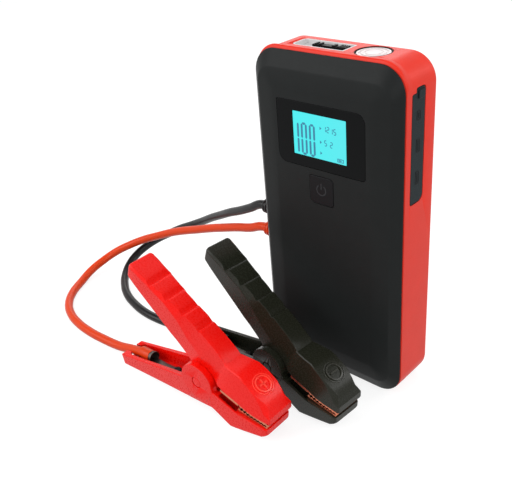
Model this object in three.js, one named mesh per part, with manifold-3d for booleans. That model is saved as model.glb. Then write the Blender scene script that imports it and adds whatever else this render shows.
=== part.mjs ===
// Jump starter pack with its plug-in jump lead and two battery clamps.
// Millimetres, +Z up. The origin is on the floor, under the centre of the pack.
// +X is to the right of the display, -Y is the side that the display faces.
import * as THREE from 'three';
import { mergeVertices } from 'three/addons/utils/BufferGeometryUtils.js';
import Module from 'manifold-3d';

const wasm = await Module();
wasm.setup();

// ---------------------------------------------------------------- driving dimensions
const GAP = 0.3;                       // clearance between neighbouring pieces

const PACK_WIDTH = 87.5;
const PACK_HEIGHT = 180;
const PACK_DEPTH = 33;                 // red tub and black front together
const CORNER = 13.3;                   // corner radius seen from the front
const WALL = 2;
const FRONT_BULGE = 5.9;               // how far the black front stands out of the red tub
const RIM_RISE = 1.3;                  // height of the ridge behind the tub's upper front edge

const BACK = PACK_DEPTH / 2;           // outer face of the back wall
const RIM = -BACK + FRONT_BULGE;       // plane of the red tub's front edge
const FACE = -BACK;                    // flat face of the black front
const FACE_INNER = FACE + WALL;
const SIDE = PACK_WIDTH / 2;
const BACK_INNER = BACK - WALL;

const WINDOW = { width: 52.5, low: 124.5, high: 157.5, round: 5, sharp: [1.2, 1.8], thick: 1.5 };
const SCREEN = { width: 34, low: 129, high: 153 };
const BUTTON = { width: 14.4, low: 105.9, high: 121, rounds: [3, 1.5, 2.2, 1], travel: 0.8 };
const BOARD = { front: -6.5, thick: 1.6, low: 98, high: 170, left: -36, right: 38.5 };

const CELL = { left: -22.5, right: 36, low: 14, high: 95, thick: 5.8, count: 4 };
const FRONT_PAD = { right: 27, low: 17, high: 93, thick: 2.6 };

const SCREW_X = 35;
const SCREW_Z = [8.7, PACK_HEIGHT - 8.7];

const TORCH = { x: 17, y: 4, radius: 8.2, ring: 8.85, hole: 9.1 };
const SWITCH = { left: -27.5, right: 4, front: -2, back: 10, travel: 7 };

const COVER = { low: 112.2, high: 166, tab: 168.2, front: -5.5, back: 5.3, tabFront: -1.9, thick: 1.6 };
const PORTS = [
  { name: 'usb_a_socket_1', z: 125, height: 13.2, width: 5.7 },
  { name: 'usb_a_socket_2', z: 141, height: 13.2, width: 5.7 },
  { name: 'usb_c_socket', z: 155.5, height: 9, width: 3.4 },
];

const JACK = { y: 8.4, z: 71, pitch: 15, halfWidth: 4.6, halfHeight: 13.6, depth: 13.2 };
const PLUG_BODY = 8.2;                 // length of the plug outside the pack
const BOOT = 9.4;                      // length of each tapered boot

const CABLE = 5.5;                     // outer diameter of both cables
const PIVOT = 19.5;                    // height of a clamp's pivot over the floor

const RED_CLAMP = { x: -35.6, y: -74.1, turn: 1.35 };
const BLACK_CLAMP = { x: -12.8, y: -42, turn: -3.9 };

// Cable routes, from the plug's boots to the lugs in the clamps.
const RED_ROUTE = [
  [-60.2, 8.4, 63.5], [-67, 8.4, 62.8], [-77, 8.5, 58.9], [-88.5, 9, 55.5], [-102, 9.5, 51], [-115.5, 9.5, 46.5],
  [-129, 9.5, 41.5], [-142, 9, 37], [-155, 8, 32], [-168, 5.5, 26.5], [-180, 1.5, 21.5],
  [-190, -4, 16.5], [-197.5, -11, 12], [-201.5, -20, 8], [-202, -31.5, 5], [-198, -44, 3],
  [-191, -56.5, 3], [-181.5, -66.5, 3], [-170, -73, 3], [-157, -76.6, 3], [-142.5, -78, 3],
  [-128.5, -77.6, 3], [-114, -76.6, 3.6], [-102, -75.7, 6], [-91.7, -75.4, 8.3],
];
const BLACK_ROUTE = [
  [-60.2, 8.4, 78.5], [-66.5, 8.4, 77.8], [-75.5, 9, 72.9], [-86, 10.5, 67.5], [-98.5, 13, 61.5], [-110.5, 16, 55],
  [-122.5, 18.5, 48.5], [-134.5, 20.5, 41.5], [-146.5, 21, 35], [-158.5, 19.5, 29],
  [-169, 16.5, 23], [-178, 12, 17.5], [-183.5, 6, 13], [-186, -1.5, 9], [-184, -10.5, 6],
  [-178, -20, 3.5], [-168.5, -28.5, 3], [-157, -35.5, 3], [-144, -40, 3], [-130, -42.5, 3],
  [-116.5, -42.5, 3], [-103, -40.5, 3], [-90.5, -38.2, 3.8], [-79, -37.5, 6],
  [-68.9, -38.2, 8.3],
];

// ---------------------------------------------------------------- materials
const finish = (color, roughness, metalness = 0) =>
  new THREE.MeshStandardMaterial({ color, roughness, metalness });
const RED_ABS = finish('#d9402f', 0.38);
const BLACK_ABS = finish('#26272a', 0.45);
const GLOSS_BLACK = finish('#08090b', 0.08);
const RUBBER = finish('#1b1c1e', 0.75);
const GREY_PLASTIC = finish('#b9bcbc', 0.4);
const CLEAR = finish('#eef2f4', 0.1);
const LIT = finish('#46f5ff', 0.4);
const GREEN_BOARD = finish('#1d5b3a', 0.5);
const CELL_FOIL = finish('#a9adb3', 0.35, 0.6);
const FOAM_GREY = finish('#4b4d50', 0.9);
const STEEL = finish('#9fa3a6', 0.3, 1);
const COPPER = finish('#c87b4f', 0.3, 1);
const TIN = finish('#c9cbcd', 0.3, 1);
const CLAMP_RED = finish('#f02420', 0.35);
const CLAMP_BLACK = finish('#1d1f1c', 0.4);
const CABLE_RED = finish('#d8431f', 0.5);
const CABLE_BLACK = finish('#0d0d0e', 0.5);

// ---------------------------------------------------------------- solids and booleans
function solid(geometry) {
  const bare = geometry.clone();
  for (const key of Object.keys(bare.attributes)) if (key !== 'position') bare.deleteAttribute(key);
  const merged = mergeVertices(bare, 1e-4);
  return new wasm.Manifold(new wasm.Mesh({
    numProp: 3,
    vertProperties: new Float32Array(merged.attributes.position.array),
    triVerts: new Uint32Array(merged.index.array),
  }));
}

function geometryOf(manifold) {
  const mesh = manifold.getMesh();
  const geometry = new THREE.BufferGeometry();
  geometry.setAttribute('position', new THREE.BufferAttribute(mesh.vertProperties, 3));
  geometry.setIndex(new THREE.BufferAttribute(mesh.triVerts, 1));
  const flat = geometry.toNonIndexed();
  flat.computeVertexNormals();
  return flat;
}

const join = (...shapes) => shapes.map(asSolid).reduce((a, b) => a.add(b));
const cut = (from, ...tools) => tools.map(asSolid).reduce((a, b) => a.subtract(b), asSolid(from));
const common = (a, b) => asSolid(a).intersect(asSolid(b));
function asSolid(shape) {
  return shape.isBufferGeometry ? solid(shape) : shape;
}

function part(name, shape, material, group) {
  const geometry = shape.isBufferGeometry ? shape : geometryOf(shape);
  const mesh = new THREE.Mesh(geometry, material);
  mesh.name = name;
  group.add(mesh);
  return mesh;
}

// ---------------------------------------------------------------- basic shapes
function box(x0, x1, y0, y1, z0, z1) {
  const geometry = new THREE.BoxGeometry(x1 - x0, y1 - y0, z1 - z0);
  return geometry.translate((x0 + x1) / 2, (y0 + y1) / 2, (z0 + z1) / 2);
}

function polygon(points) {
  return new THREE.Shape(points.map(([a, b]) => new THREE.Vector2(a, b)));
}

// A prism with its outline in (x, z), from y0 to y1.
function prismY(shape, y0, y1, curveSegments = 5) {
  const geometry = new THREE.ExtrudeGeometry(shape, {
    depth: y1 - y0, bevelEnabled: false, curveSegments,
  });
  return geometry.rotateX(Math.PI / 2).translate(0, y1, 0);
}

// A prism with its outline in (x, y), from z0 to z1.
function prismZ(shape, z0, z1, curveSegments = 5) {
  const geometry = new THREE.ExtrudeGeometry(shape, {
    depth: z1 - z0, bevelEnabled: false, curveSegments,
  });
  return geometry.translate(0, 0, z0);
}

// A prism with its outline in (y, z), from x0 to x1.
function prismX(shape, x0, x1, curveSegments = 5) {
  const geometry = new THREE.ExtrudeGeometry(shape, {
    depth: x1 - x0, bevelEnabled: false, curveSegments,
  });
  const turn = new THREE.Matrix4().makeBasis(
    new THREE.Vector3(0, 1, 0), new THREE.Vector3(0, 0, 1), new THREE.Vector3(1, 0, 0));
  return geometry.applyMatrix4(turn).translate(x0, 0, 0);
}

// A rectangle with its own radius at each corner: [low left, low right, high right, high left].
function rectangle(a0, a1, b0, b1, radii) {
  const [r0, r1, r2, r3] = Array.isArray(radii) ? radii : [radii, radii, radii, radii];
  const shape = new THREE.Shape();
  shape.moveTo(a0 + r0, b0);
  shape.lineTo(a1 - r1, b0);
  shape.absarc(a1 - r1, b0 + r1, r1, -Math.PI / 2, 0);
  shape.lineTo(a1, b1 - r2);
  shape.absarc(a1 - r2, b1 - r2, r2, 0, Math.PI / 2);
  shape.lineTo(a0 + r3, b1);
  shape.absarc(a0 + r3, b1 - r3, r3, Math.PI / 2, Math.PI);
  shape.lineTo(a0, b0 + r0);
  shape.absarc(a0 + r0, b0 + r0, r0, Math.PI, Math.PI * 1.5);
  return shape;
}

// A round bar along X, Y or Z from one end to the other.
function rod(axis, [a, b], from, to, radius, sides = 20, radiusTo = radius) {
  const geometry = new THREE.CylinderGeometry(radiusTo, radius, to - from, sides);
  const middle = (from + to) / 2;
  if (axis === 'z') return geometry.rotateX(Math.PI / 2).translate(a, b, middle);
  if (axis === 'x') return geometry.rotateZ(-Math.PI / 2).translate(middle, a, b);
  return geometry.translate(a, middle, b);
}

// The pack's outline drawn in by a distance, as one ring of points at a depth y. The distance
// can differ at the top and bottom, and the top can rise.
function packRing(inset, y, endInset = inset, rise = 0) {
  const stepsPerCorner = 7;
  const radius = Math.max(CORNER - inset, 0.6);
  const ring = [];
  const low = CORNER + endInset - inset;
  const high = PACK_HEIGHT - low;
  const corners = [
    [SIDE - CORNER, low, -90], [SIDE - CORNER, high, 0],
    [-SIDE + CORNER, high, 90], [-SIDE + CORNER, low, 180],
  ];
  for (const [x, z, start] of corners) {
    for (let step = 0; step <= stepsPerCorner; step += 1) {
      const angle = THREE.MathUtils.degToRad(start + 90 * step / stepsPerCorner);
      ring.push(new THREE.Vector3(
        x + radius * Math.cos(angle), y,
        (z + radius * Math.sin(angle)) * (1 + rise / PACK_HEIGHT)));
    }
  }
  return ring.reverse();
}

// A closed skin through rings of equal length, from the front ring to the back ring.
function loft(rings) {
  const count = rings[0].length;
  const points = rings.flat();
  const triangles = [];
  for (let r = 0; r < rings.length - 1; r += 1) {
    for (let i = 0; i < count; i += 1) {
      const a = r * count + i;
      const b = r * count + (i + 1) % count;
      triangles.push(a, b, a + count, b, b + count, a + count);
    }
  }
  for (const [start, front] of [[0, true], [points.length - count, false]]) {
    const centre = new THREE.Vector3();
    for (let i = 0; i < count; i += 1) centre.add(points[start + i]);
    points.push(centre.divideScalar(count));
    const hub = points.length - 1;
    for (let i = 0; i < count; i += 1) {
      const a = start + i;
      const b = start + (i + 1) % count;
      if (front) triangles.push(hub, b, a);
      else triangles.push(hub, a, b);
    }
  }
  const geometry = new THREE.BufferGeometry().setFromPoints(points);
  geometry.setIndex(triangles);
  return geometry;
}

// ---------------------------------------------------------------- red tub
function rearShell() {
  const outer = loft([
    packRing(0.4, RIM), packRing(0, RIM + 0.5), packRing(0, RIM + 1.7, 0, RIM_RISE),
    packRing(0, RIM + 6.4), packRing(0, BACK - 3), packRing(0.9, BACK - 0.9), packRing(3, BACK),
  ]);
  const hollow = loft([
    packRing(WALL, RIM - 1), packRing(WALL, BACK_INNER - 1), packRing(WALL + 1, BACK_INNER),
  ]);
  const portBlock = box(39.4, SIDE - 1, -8, 8, COVER.low - 3, COVER.tab + 2);
  let tub = join(cut(outer, hollow), portBlock);
  const coverPocket = coverOutline(GAP);
  tub = cut(tub, prismX(coverPocket, SIDE - COVER.thick - GAP, SIDE + 1));
  for (const port of PORTS) tub = cut(tub, portHole(port, GAP, 39, SIDE));
  tub = cut(
    tub,
    rod('z', [TORCH.x, TORCH.y], PACK_HEIGHT - 4, PACK_HEIGHT + 1, TORCH.hole, 32),
    prismZ(switchOutline(GAP), PACK_HEIGHT - 4, PACK_HEIGHT + 1),
    prismX(jackOutline(1.1 + GAP), -SIDE - 1, -SIDE + WALL + 1),
  );
  for (const x of [-SCREW_X, SCREW_X]) {
    for (const z of SCREW_Z) {
      const seat = rod('y', [x, z], BACK - 5, BACK - 1, 4.3, 16);
      const counterbore = rod('y', [x, z], BACK - 2.6, BACK + 1, 3.1, 16);
      const throat = rod('y', [x, z], BACK - 6, BACK, 1.6, 12);
      tub = cut(join(tub, seat), counterbore, throat);
    }
  }
  return tub;
}

// ---------------------------------------------------------------- black front
function frontCover() {
  const edge = RIM - GAP;
  const inside = WALL + GAP;
  const dome = loft([
    packRing(16, FACE, 18), packRing(13, FACE + 0.2, 15.5), packRing(9.5, FACE + 0.7, 12),
    packRing(5.1, FACE + 1.4, 8.5), packRing(4.3, FACE + 1.8, 7.3),
    packRing(0.6, edge - 0.5, 0.8), packRing(0.2, edge),
    packRing(inside, edge + 0.01), packRing(inside, RIM + 1.5),
  ]);
  const under = loft([
    packRing(16, FACE_INNER, 16.3), packRing(10.5, FACE_INNER + 0.45, 13),
    packRing(6.2, FACE_INNER + 1.2, 9.4), packRing(inside + 1.3, FACE_INNER + 3, 4.9),
    packRing(inside + 1.2, RIM - 0.3), packRing(inside + 1.2, RIM + 3),
  ]);
  let cover = cut(dome, under);
  for (const x of [-SCREW_X, SCREW_X]) {
    for (const z of SCREW_Z) {
      const post = rod('y', [x, z], FACE + 3.3, BACK - 5 - GAP, 2.6, 14);
      cover = cut(join(cover, post), rod('y', [x, z], BACK - 15, BACK, 1.55, 10));
    }
  }
  const windowSeat = prismY(windowOutline(GAP), FACE - 1, FACE + WINDOW.thick + GAP);
  const screenHole = prismY(
    rectangle(-SCREEN.width / 2, SCREEN.width / 2, SCREEN.low, SCREEN.high, 1), FACE - 1, RIM);
  const buttonHole = prismY(buttonOutline(GAP), FACE - 1, RIM);
  return cut(cover, windowSeat, screenHole, buttonHole);
}

// Leaf shape: sharp at the top left and bottom right, round at the other two corners.
function windowOutline(grow) {
  const half = WINDOW.width / 2 + grow;
  return rectangle(-half, half, WINDOW.low - grow, WINDOW.high + grow,
    [WINDOW.round, WINDOW.sharp[1], WINDOW.round, WINDOW.sharp[0]]);
}

function buttonOutline(grow) {
  const half = BUTTON.width / 2 + grow;
  return rectangle(-half, half, BUTTON.low - grow, BUTTON.high + grow, BUTTON.rounds);
}

function powerButton() {
  const flangeFront = FACE_INNER + GAP;
  return join(
    prismY(buttonOutline(0), FACE - 0.3, flangeFront + 0.5),
    prismY(buttonOutline(1.3), flangeFront, flangeFront + 1),
  );
}

// The tact switch stands on the board behind the button; its plunger moves with the button.
function tactSwitch(group, buttonGroup) {
  const z = (BUTTON.low + BUTTON.high) / 2;
  const capBack = FACE_INNER + GAP + 1;
  const bodyFront = BOARD.front - GAP - 3.2;
  const body = cut(
    box(-3, 3, bodyFront, BOARD.front - GAP, z - 3, z + 3),
    rod('y', [0, z], bodyFront - 1, bodyFront + 2, 1.9, 14));
  part('power_switch_body', body, BLACK_ABS, group);
  const plunger = join(
    rod('y', [0, z], capBack + GAP, bodyFront + 1, 1.5, 14),
    rod('y', [0, z], capBack + GAP, capBack + 1.3, 2.6, 14));
  part('power_switch_plunger', plunger, GREY_PLASTIC, buttonGroup);
}

function display(group) {
  part('display_window', prismY(windowOutline(0), FACE, FACE + WINDOW.thick), GLOSS_BLACK, group);
  const half = SCREEN.width / 2 + 1.5;
  const panelFront = FACE_INNER + GAP;
  const panel = prismY(
    rectangle(-half, half, SCREEN.low - 1.5, SCREEN.high + 1.5, 0.6), panelFront, panelFront + 1.7);
  part('lcd_panel', panel, LIT, group);
  const backlightFront = panelFront + 2;
  const backlight = join(
    box(-half, half, backlightFront, backlightFront + 2.2, SCREEN.low - 1.5, SCREEN.high + 1.5),
    box(-half, half, backlightFront + 2, BOARD.front - GAP, SCREEN.high - 3, SCREEN.high + 1.5),
    box(-half, half, backlightFront + 2, BOARD.front - GAP, SCREEN.low - 1.5, SCREEN.low + 3));
  part('lcd_backlight', backlight, GREY_PLASTIC, group);
}

// ---------------------------------------------------------------- cells and straps
function battery(group) {
  let front = FACE_INNER + GAP;
  part('foam_pad_front', box(CELL.left, FRONT_PAD.right, front, front + FRONT_PAD.thick,
    FRONT_PAD.low, FRONT_PAD.high), FOAM_GREY, group);
  front += FRONT_PAD.thick + GAP;
  for (let i = 1; i <= CELL.count; i += 1) {
    const bag = prismZ(
      rectangle(CELL.left, CELL.right, front, front + CELL.thick, 1.5), CELL.low, CELL.high, 3);
    part(`battery_cell_${i}`, bag, CELL_FOIL, group);
    front += CELL.thick + GAP;
  }
  const last = BACK_INNER - GAP;
  part('foam_pad_back', box(CELL.left, CELL.right - 2, front, last, CELL.low, CELL.high),
    FOAM_GREY, group);

  const strapFront = JACK.y - 3;
  const strapBack = JACK.y + 3;
  const top = CELL.high + GAP;
  const bottom = CELL.low - GAP;
  part('strap_positive', join(
    box(-27.6, -8, strapFront, strapBack, top, top + 1),
    box(-27.6, -26.6, strapFront, strapBack, poleHeight(1) - 3, top + 1)), COPPER, group);
  part('strap_negative', join(
    box(-25.6, -8, strapFront, strapBack, bottom - 1, bottom),
    box(-25.6, -24.6, strapFront, strapBack, bottom - 1, poleHeight(-1) + 3)), COPPER, group);
}

const poleHeight = (side) => JACK.z + side * JACK.pitch / 2;

// ---------------------------------------------------------------- screws
function caseScrews(group) {
  let number = 1;
  for (const x of [-SCREW_X, SCREW_X]) {
    for (const z of SCREW_Z) {
      const head = rod('y', [x, z], BACK - 2.6 + GAP, BACK - 0.5, 2.7, 16);
      const shank = rod('y', [x, z], BACK - 13, BACK - 2, 1.2, 10);
      const slot = [box(x - 1.6, x + 1.6, BACK - 1.2, BACK, z - 0.3, z + 0.3),
        box(x - 0.3, x + 0.3, BACK - 1.2, BACK, z - 1.6, z + 1.6)];
      part(`case_screw_${number}`, cut(join(head, shank), ...slot), STEEL, group);
      number += 1;
    }
  }
}

// ---------------------------------------------------------------- torch and its switch
function torch(group) {
  const spot = [TORCH.x, TORCH.y];
  const lensTop = PACK_HEIGHT - 0.35;
  part('torch_lens',
    rod('z', spot, lensTop - 1.8, lensTop, TORCH.radius, 32), CLEAR, group);
  part('torch_bezel', cut(
    rod('z', spot, PACK_HEIGHT - 2.6, PACK_HEIGHT, TORCH.ring, 32),
    rod('z', spot, PACK_HEIGHT - 3, PACK_HEIGHT + 1, TORCH.radius + 0.25, 32)), BLACK_ABS, group);
  const top = lensTop - 1.8 - GAP;
  const profile = [[2.6, top - 8], [3.6, top - 8], [8, top], [7, top], [2.6, top - 7]];
  const cup = new THREE.LatheGeometry(
    [...profile, profile[0]].map(([r, z]) => new THREE.Vector2(r, z)), 24);
  cup.rotateX(Math.PI / 2);
  part('torch_reflector', cup.translate(TORCH.x, TORCH.y, 0), TIN, group);
  const boardTop = top - 8 - GAP;
  part('torch_board', rod('z', spot, boardTop - 1.2, boardTop, 7.6, 20), GREEN_BOARD, group);
  part('torch_led',
    box(TORCH.x - 1.5, TORCH.x + 1.5, TORCH.y - 1.5, TORCH.y + 1.5, boardTop + GAP, boardTop + 1.4),
    CLEAR, group);
}

// Recess of the torch switch from above, its left corners cut off.
function switchOutline(grow) {
  const { left, right, front, back } = SWITCH;
  const slant = 2;
  return polygon([
    [left + slant, front - grow], [right + grow, front - grow], [right + grow, back + grow],
    [left + slant, back + grow], [left - grow, back - slant], [left - grow, front + slant],
  ]);
}

function torchSwitch(group, slider) {
  const middle = (SWITCH.front + SWITCH.back) / 2;
  const floor = PACK_HEIGHT - 2.4;
  const stem = { left: -3, right: 0, half: 1 };
  const slot = box(stem.left - SWITCH.travel - GAP, stem.right + GAP,
    middle - stem.half - GAP, middle + stem.half + GAP, floor - 3, floor + 3);
  const tray = cut(
    prismZ(switchOutline(0), floor - 1, PACK_HEIGHT),
    prismZ(switchOutline(-1), floor, PACK_HEIGHT + 1), slot);
  part('torch_switch_bezel', tray, GREY_PLASTIC, group);
  const bodyTop = floor - 1 - GAP;
  const body = cut(
    box(-18, 4, middle - 4, middle + 4, bodyTop - 5, bodyTop),
    box(stem.left - SWITCH.travel - GAP, stem.right + GAP,
      middle - stem.half - GAP, middle + stem.half + GAP, bodyTop - 3, bodyTop + 1));
  part('torch_switch_body', body, BLACK_ABS, group);
  const bar = box(-17.6, 2.6, middle - 1.6, middle + 1.6, floor + GAP, PACK_HEIGHT - 0.1);
  const thumb = box(-2.2, 2.6, middle - 2.1, middle + 2.1, floor + GAP, PACK_HEIGHT + 0.4);
  const ribs = [[-16, -14.8], [-13.6, -12.4], [-5.8, -4.2]].map(([x0, x1]) =>
    box(x0, x1, middle - 1.6, middle + 1.6, floor + 1, PACK_HEIGHT + 0.5));
  const peg = box(stem.left, stem.right, middle - stem.half, middle + stem.half,
    bodyTop - 2, floor + 1);
  part('torch_switch_slider', join(bar, thumb, peg, ...ribs), BLACK_ABS, slider);
}

// ---------------------------------------------------------------- side ports and their cover
// Cover outline in (y, z): a lower rear corner rounded, a tab at the upper rear.
function coverOutline(grow) {
  const { low, high, tab, front, back, tabFront } = COVER;
  const f = front - grow;
  const b = back + grow;
  const t = tabFront - grow;
  const top = high + grow;
  const shape = new THREE.Shape();
  shape.moveTo(f + 1.5, low - grow);
  shape.lineTo(b - 3, low - grow);
  shape.absarc(b - 3, low - grow + 3, 3, -Math.PI / 2, 0);
  shape.lineTo(b, tab + grow - 1.5);
  shape.absarc(b - 1.5, tab + grow - 1.5, 1.5, 0, Math.PI / 2);
  shape.lineTo(t + 1.2, tab + grow);
  shape.lineTo(t, tab + grow - 1.2);
  shape.lineTo(t, top);
  shape.lineTo(f + 1, top);
  shape.lineTo(f, top - 1);
  shape.lineTo(f, low - grow + 1.5);
  return shape;
}

const portHole = (port, grow, x0, x1) => box(x0, x1,
  -port.width / 2 - grow, port.width / 2 + grow,
  port.z - port.height / 2 - grow, port.z + port.height / 2 + grow);

function sidePorts(group, coverGroup) {
  const face = 40.2;
  for (const port of PORTS) {
    const shell = 0.6;
    const tongue = port.width > 5 ? 0.9 : 0.35;
    const deep = port.width > 5 ? 9 : 6;
    const mouth = { width: port.width - 2 * shell, height: port.height - 2 * shell, z: port.z };
    const body = cut(portHole(port, 0, face - 13.6, face), portHole(mouth, 0, face - deep, face + 1));
    const blade = box(face - deep - 1, face - 1.2, -tongue, tongue,
      port.z - port.height / 2 + 1.8, port.z + port.height / 2 - 1.8);
    const legs = box(face - 12.6, face - 4.6, BOARD.front + BOARD.thick + GAP, 0.1 - port.width / 2,
      port.z - port.height / 2 + 1, port.z + port.height / 2 - 1);
    part(port.name, join(body, blade, legs), STEEL, group);
  }
  const plate = prismX(coverOutline(0), SIDE - COVER.thick, SIDE);
  const plugs = PORTS.map((port) => portHole(port, -0.3, SIDE - COVER.thick - 1.2, SIDE - 1));
  const grip = prismX(
    rectangle(COVER.tabFront + 0.8, COVER.back - 0.8, COVER.high - 3, COVER.tab - 0.8, 0.8),
    SIDE - 1, SIDE + 0.7);
  part('side_port_cover', join(plate, grip, ...plugs), RUBBER, coverGroup);
}

function mainBoard(group) {
  const { front, thick, low, high, left, right } = BOARD;
  const plate = cut(
    box(left, right, front, front + thick, low, high),
    rod('y', [SCREW_X, SCREW_Z[1]], front - 1, front + thick + 1, 5, 14),
    rod('y', [-SCREW_X, SCREW_Z[1]], front - 1, front + thick + 1, 5, 14));
  const chips = [[-20, 112, 10], [-4, 118, 8], [-18, 134, 12], [6, 140, 7]].map(([x, z, size]) =>
    box(x, x + size, front + thick - 0.1, front + thick + 3, z, z + size));
  part('main_board', join(plate, ...chips), GREEN_BOARD, group);
}

// ---------------------------------------------------------------- jump socket and plug
function jackOutline(grow) {
  return rectangle(JACK.y - JACK.halfWidth - grow, JACK.y + JACK.halfWidth + grow,
    JACK.z - JACK.halfHeight - grow, JACK.z + JACK.halfHeight + grow, 1.2 + grow);
}

function jumpSocket(group) {
  const inner = -SIDE + JACK.depth + 1;
  const pocket = prismX(jackOutline(GAP), -SIDE - 1, inner);
  let housing = cut(prismX(jackOutline(1.1), -SIDE, inner + 1.2), pocket);
  for (const side of [-1, 1]) {
    housing = cut(housing, rod('x', [JACK.y, poleHeight(side)], inner - 1, inner + 3, 2.6 + GAP));
  }
  part('jump_socket', housing, BLACK_ABS, group);
  const tails = { negative: -25.9, positive: -27.9 };
  for (const [name, side] of [['negative', -1], ['positive', 1]]) {
    const centre = [JACK.y, poleHeight(side)];
    const tube = cut(
      rod('x', centre, -SIDE + 3, tails[name], 2.6),
      rod('x', centre, -SIDE, -SIDE + 12, 1.9));
    part(`socket_contact_${name}`, tube, TIN, group);
  }
}

function jumpPlug(group) {
  const bodyEnd = -SIDE - GAP;
  const bodyStart = bodyEnd - PLUG_BODY;
  let plug = join(
    prismX(jackOutline(2), bodyStart, bodyEnd),
    prismX(jackOutline(0), bodyEnd - 1, -SIDE + JACK.depth));
  for (const side of [-1, 1]) {
    const centre = [JACK.y, poleHeight(side)];
    plug = cut(plug, rod('x', centre, -SIDE + 1, -SIDE + JACK.depth + 1, 2.6 + GAP),
      rod('x', centre, bodyStart - 1, -SIDE + 2, 1.3 + GAP));
  }
  part('plug_body', plug, BLACK_ABS, group);
  for (const [name, side, rubber] of [['negative', 1, CABLE_BLACK], ['positive', -1, CABLE_RED]]) {
    const centre = [JACK.y, poleHeight(side)];
    const pin = join(
      rod('x', centre, bodyStart + 0.5, -SIDE + 2, 1.3, 14),
      rod('x', centre, -SIDE + 1.5, -SIDE + 11.5, 1.5, 14));
    part(`plug_pin_${name}`, pin, TIN, group);
    const bootEnd = bodyStart - GAP - BOOT;
    const boot = cut(
      rod('x', centre, bootEnd, bodyStart - GAP, 4.4, 20, 4.9),
      rod('x', centre, bootEnd - 1, bootEnd + 2.4, CABLE / 2 + 0.85, 20));
    part(`plug_boot_${name}`, boot, rubber, group);
  }
}

function cable(name, route, material, group) {
  const curve = new THREE.CatmullRomCurve3(
    route.map((p) => new THREE.Vector3(...p)), false, 'centripetal');
  const sides = 8;
  const section = new THREE.Shape();
  for (let i = 0; i < sides; i += 1) {
    const angle = 2 * Math.PI * i / sides;
    const point = [CABLE / 2 * Math.cos(angle), CABLE / 2 * Math.sin(angle)];
    if (i === 0) section.moveTo(...point);
    else section.lineTo(...point);
  }
  const steps = Math.round(curve.getLength() / (2.4 * CABLE));
  const geometry = new THREE.ExtrudeGeometry(section, {
    steps, extrudePath: curve, bevelEnabled: false,
  });
  part(name, geometry, material, group);
}

// ---------------------------------------------------------------- clamps
// Each clamp is drawn in its own frame: u along it towards the jaws, v across, w up.
// The pivot is at u = 0, w = PIVOT.
const EAR = { radius: 11, inner: 6.8, outer: 10.4 };
const LOWER_PROFILE = [
  [-65.5, 0], [9.5, 6.3], [22.2, 0], [44, 4.2], [46.8, 6.4], [47.3, 10.4], [27.2, 12.3],
  [12.6, 17.6], [-8.4, 18.4], [-67, 7.3],
];
const LOWER_PLAN = [
  [-68, -8], [0, -10.4], [30, -10.4], [48, -9.6], [48, 9.6], [30, 10.4], [0, 10.4], [-68, 8],
];
const HANDLE_PROFILE = [
  [-48.3, 71.8], [-44.5, 76.2], [-41, 76.4], [0, 52.8], [12, 44.2], [20.5, 36.6], [17, 26],
  [10, 18], [6, 12.4], [-5, 12.4], [-8.6, 18], [-7.5, 28.5], [-9.8, 32.4],
];
const HANDLE_PLAN = [
  [-50, -8.6], [-14, -7.4], [-9, -6.4], [16, -6.4], [22, -6.4],
  [22, 6.4], [16, 6.4], [-9, 6.4], [-14, 7.4], [-50, 8.6],
];
const JAW_PROFILE = [
  [13, 30], [20.5, 36.6], [30.5, 35.6], [36, 32.3], [42.3, 27.7], [46.9, 23.4], [49, 18.4], [49.5, 14],
  [36.1, 15.7], [27.4, 19.6], [16.6, 22.6], [12, 24],
];
const JAW_PLAN = [[8, -10], [40, -10], [50, -9], [50, 9], [40, 10], [8, 10]];

const mirrorV = (sign, low, high) => (sign > 0 ? [low, high] : [-high, -low]);

function lowerLever() {
  const body = common(
    prismY(polygon(LOWER_PROFILE), -12, 12), prismZ(polygon(LOWER_PLAN), -1, 40));
  const ears = [-1, 1].map((sign) => {
    const [v0, v1] = mirrorV(sign, EAR.inner, EAR.outer);
    return join(
      rod('y', [0, PIVOT], v0, v1, EAR.radius, 28),
      prismY(polygon([[-8, 8], [9, 8], [12.4, 16], [11, 20], [-8.5, 20]]), v0, v1));
  });
  const trough = prismY(polygon([
    [-70, 2.2], [-40, 4.4], [7.5, 8.6], [13, 12], [13.5, 32], [-70, 32],
  ]), -10, 10);
  const troughPlan = prismZ(polygon([
    [-70, -3.6], [-63, -3.6], [-61, -5.9], [-10, -EAR.inner], [13.5, -EAR.inner],
    [13.5, EAR.inner], [-10, EAR.inner], [-61, 5.9], [-63, 3.6], [-70, 3.6],
  ]), 0, 40);
  const pocket = prismY(polygon([
    [14.7, 9.2], [26.6, 6.4], [26.6, 20], [14.7, 24],
  ]), -9.1, 9.1);
  let lever = cut(join(body, ...ears), common(trough, troughPlan), pocket);
  lever = cut(lever,
    rod('y', [0, PIVOT], -12, 12, 2 + GAP, 16),
    rod('y', [0, PIVOT], -12, -EAR.outer + 1.2, 3.1 + GAP, 18),
    rod('y', [0, PIVOT], EAR.outer - 1.2, 12, 3.1 + GAP, 18),
    rod('z', [LUG.screw, 0], -1, 12, 1.2 + GAP, 12));
  return lever;
}

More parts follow.
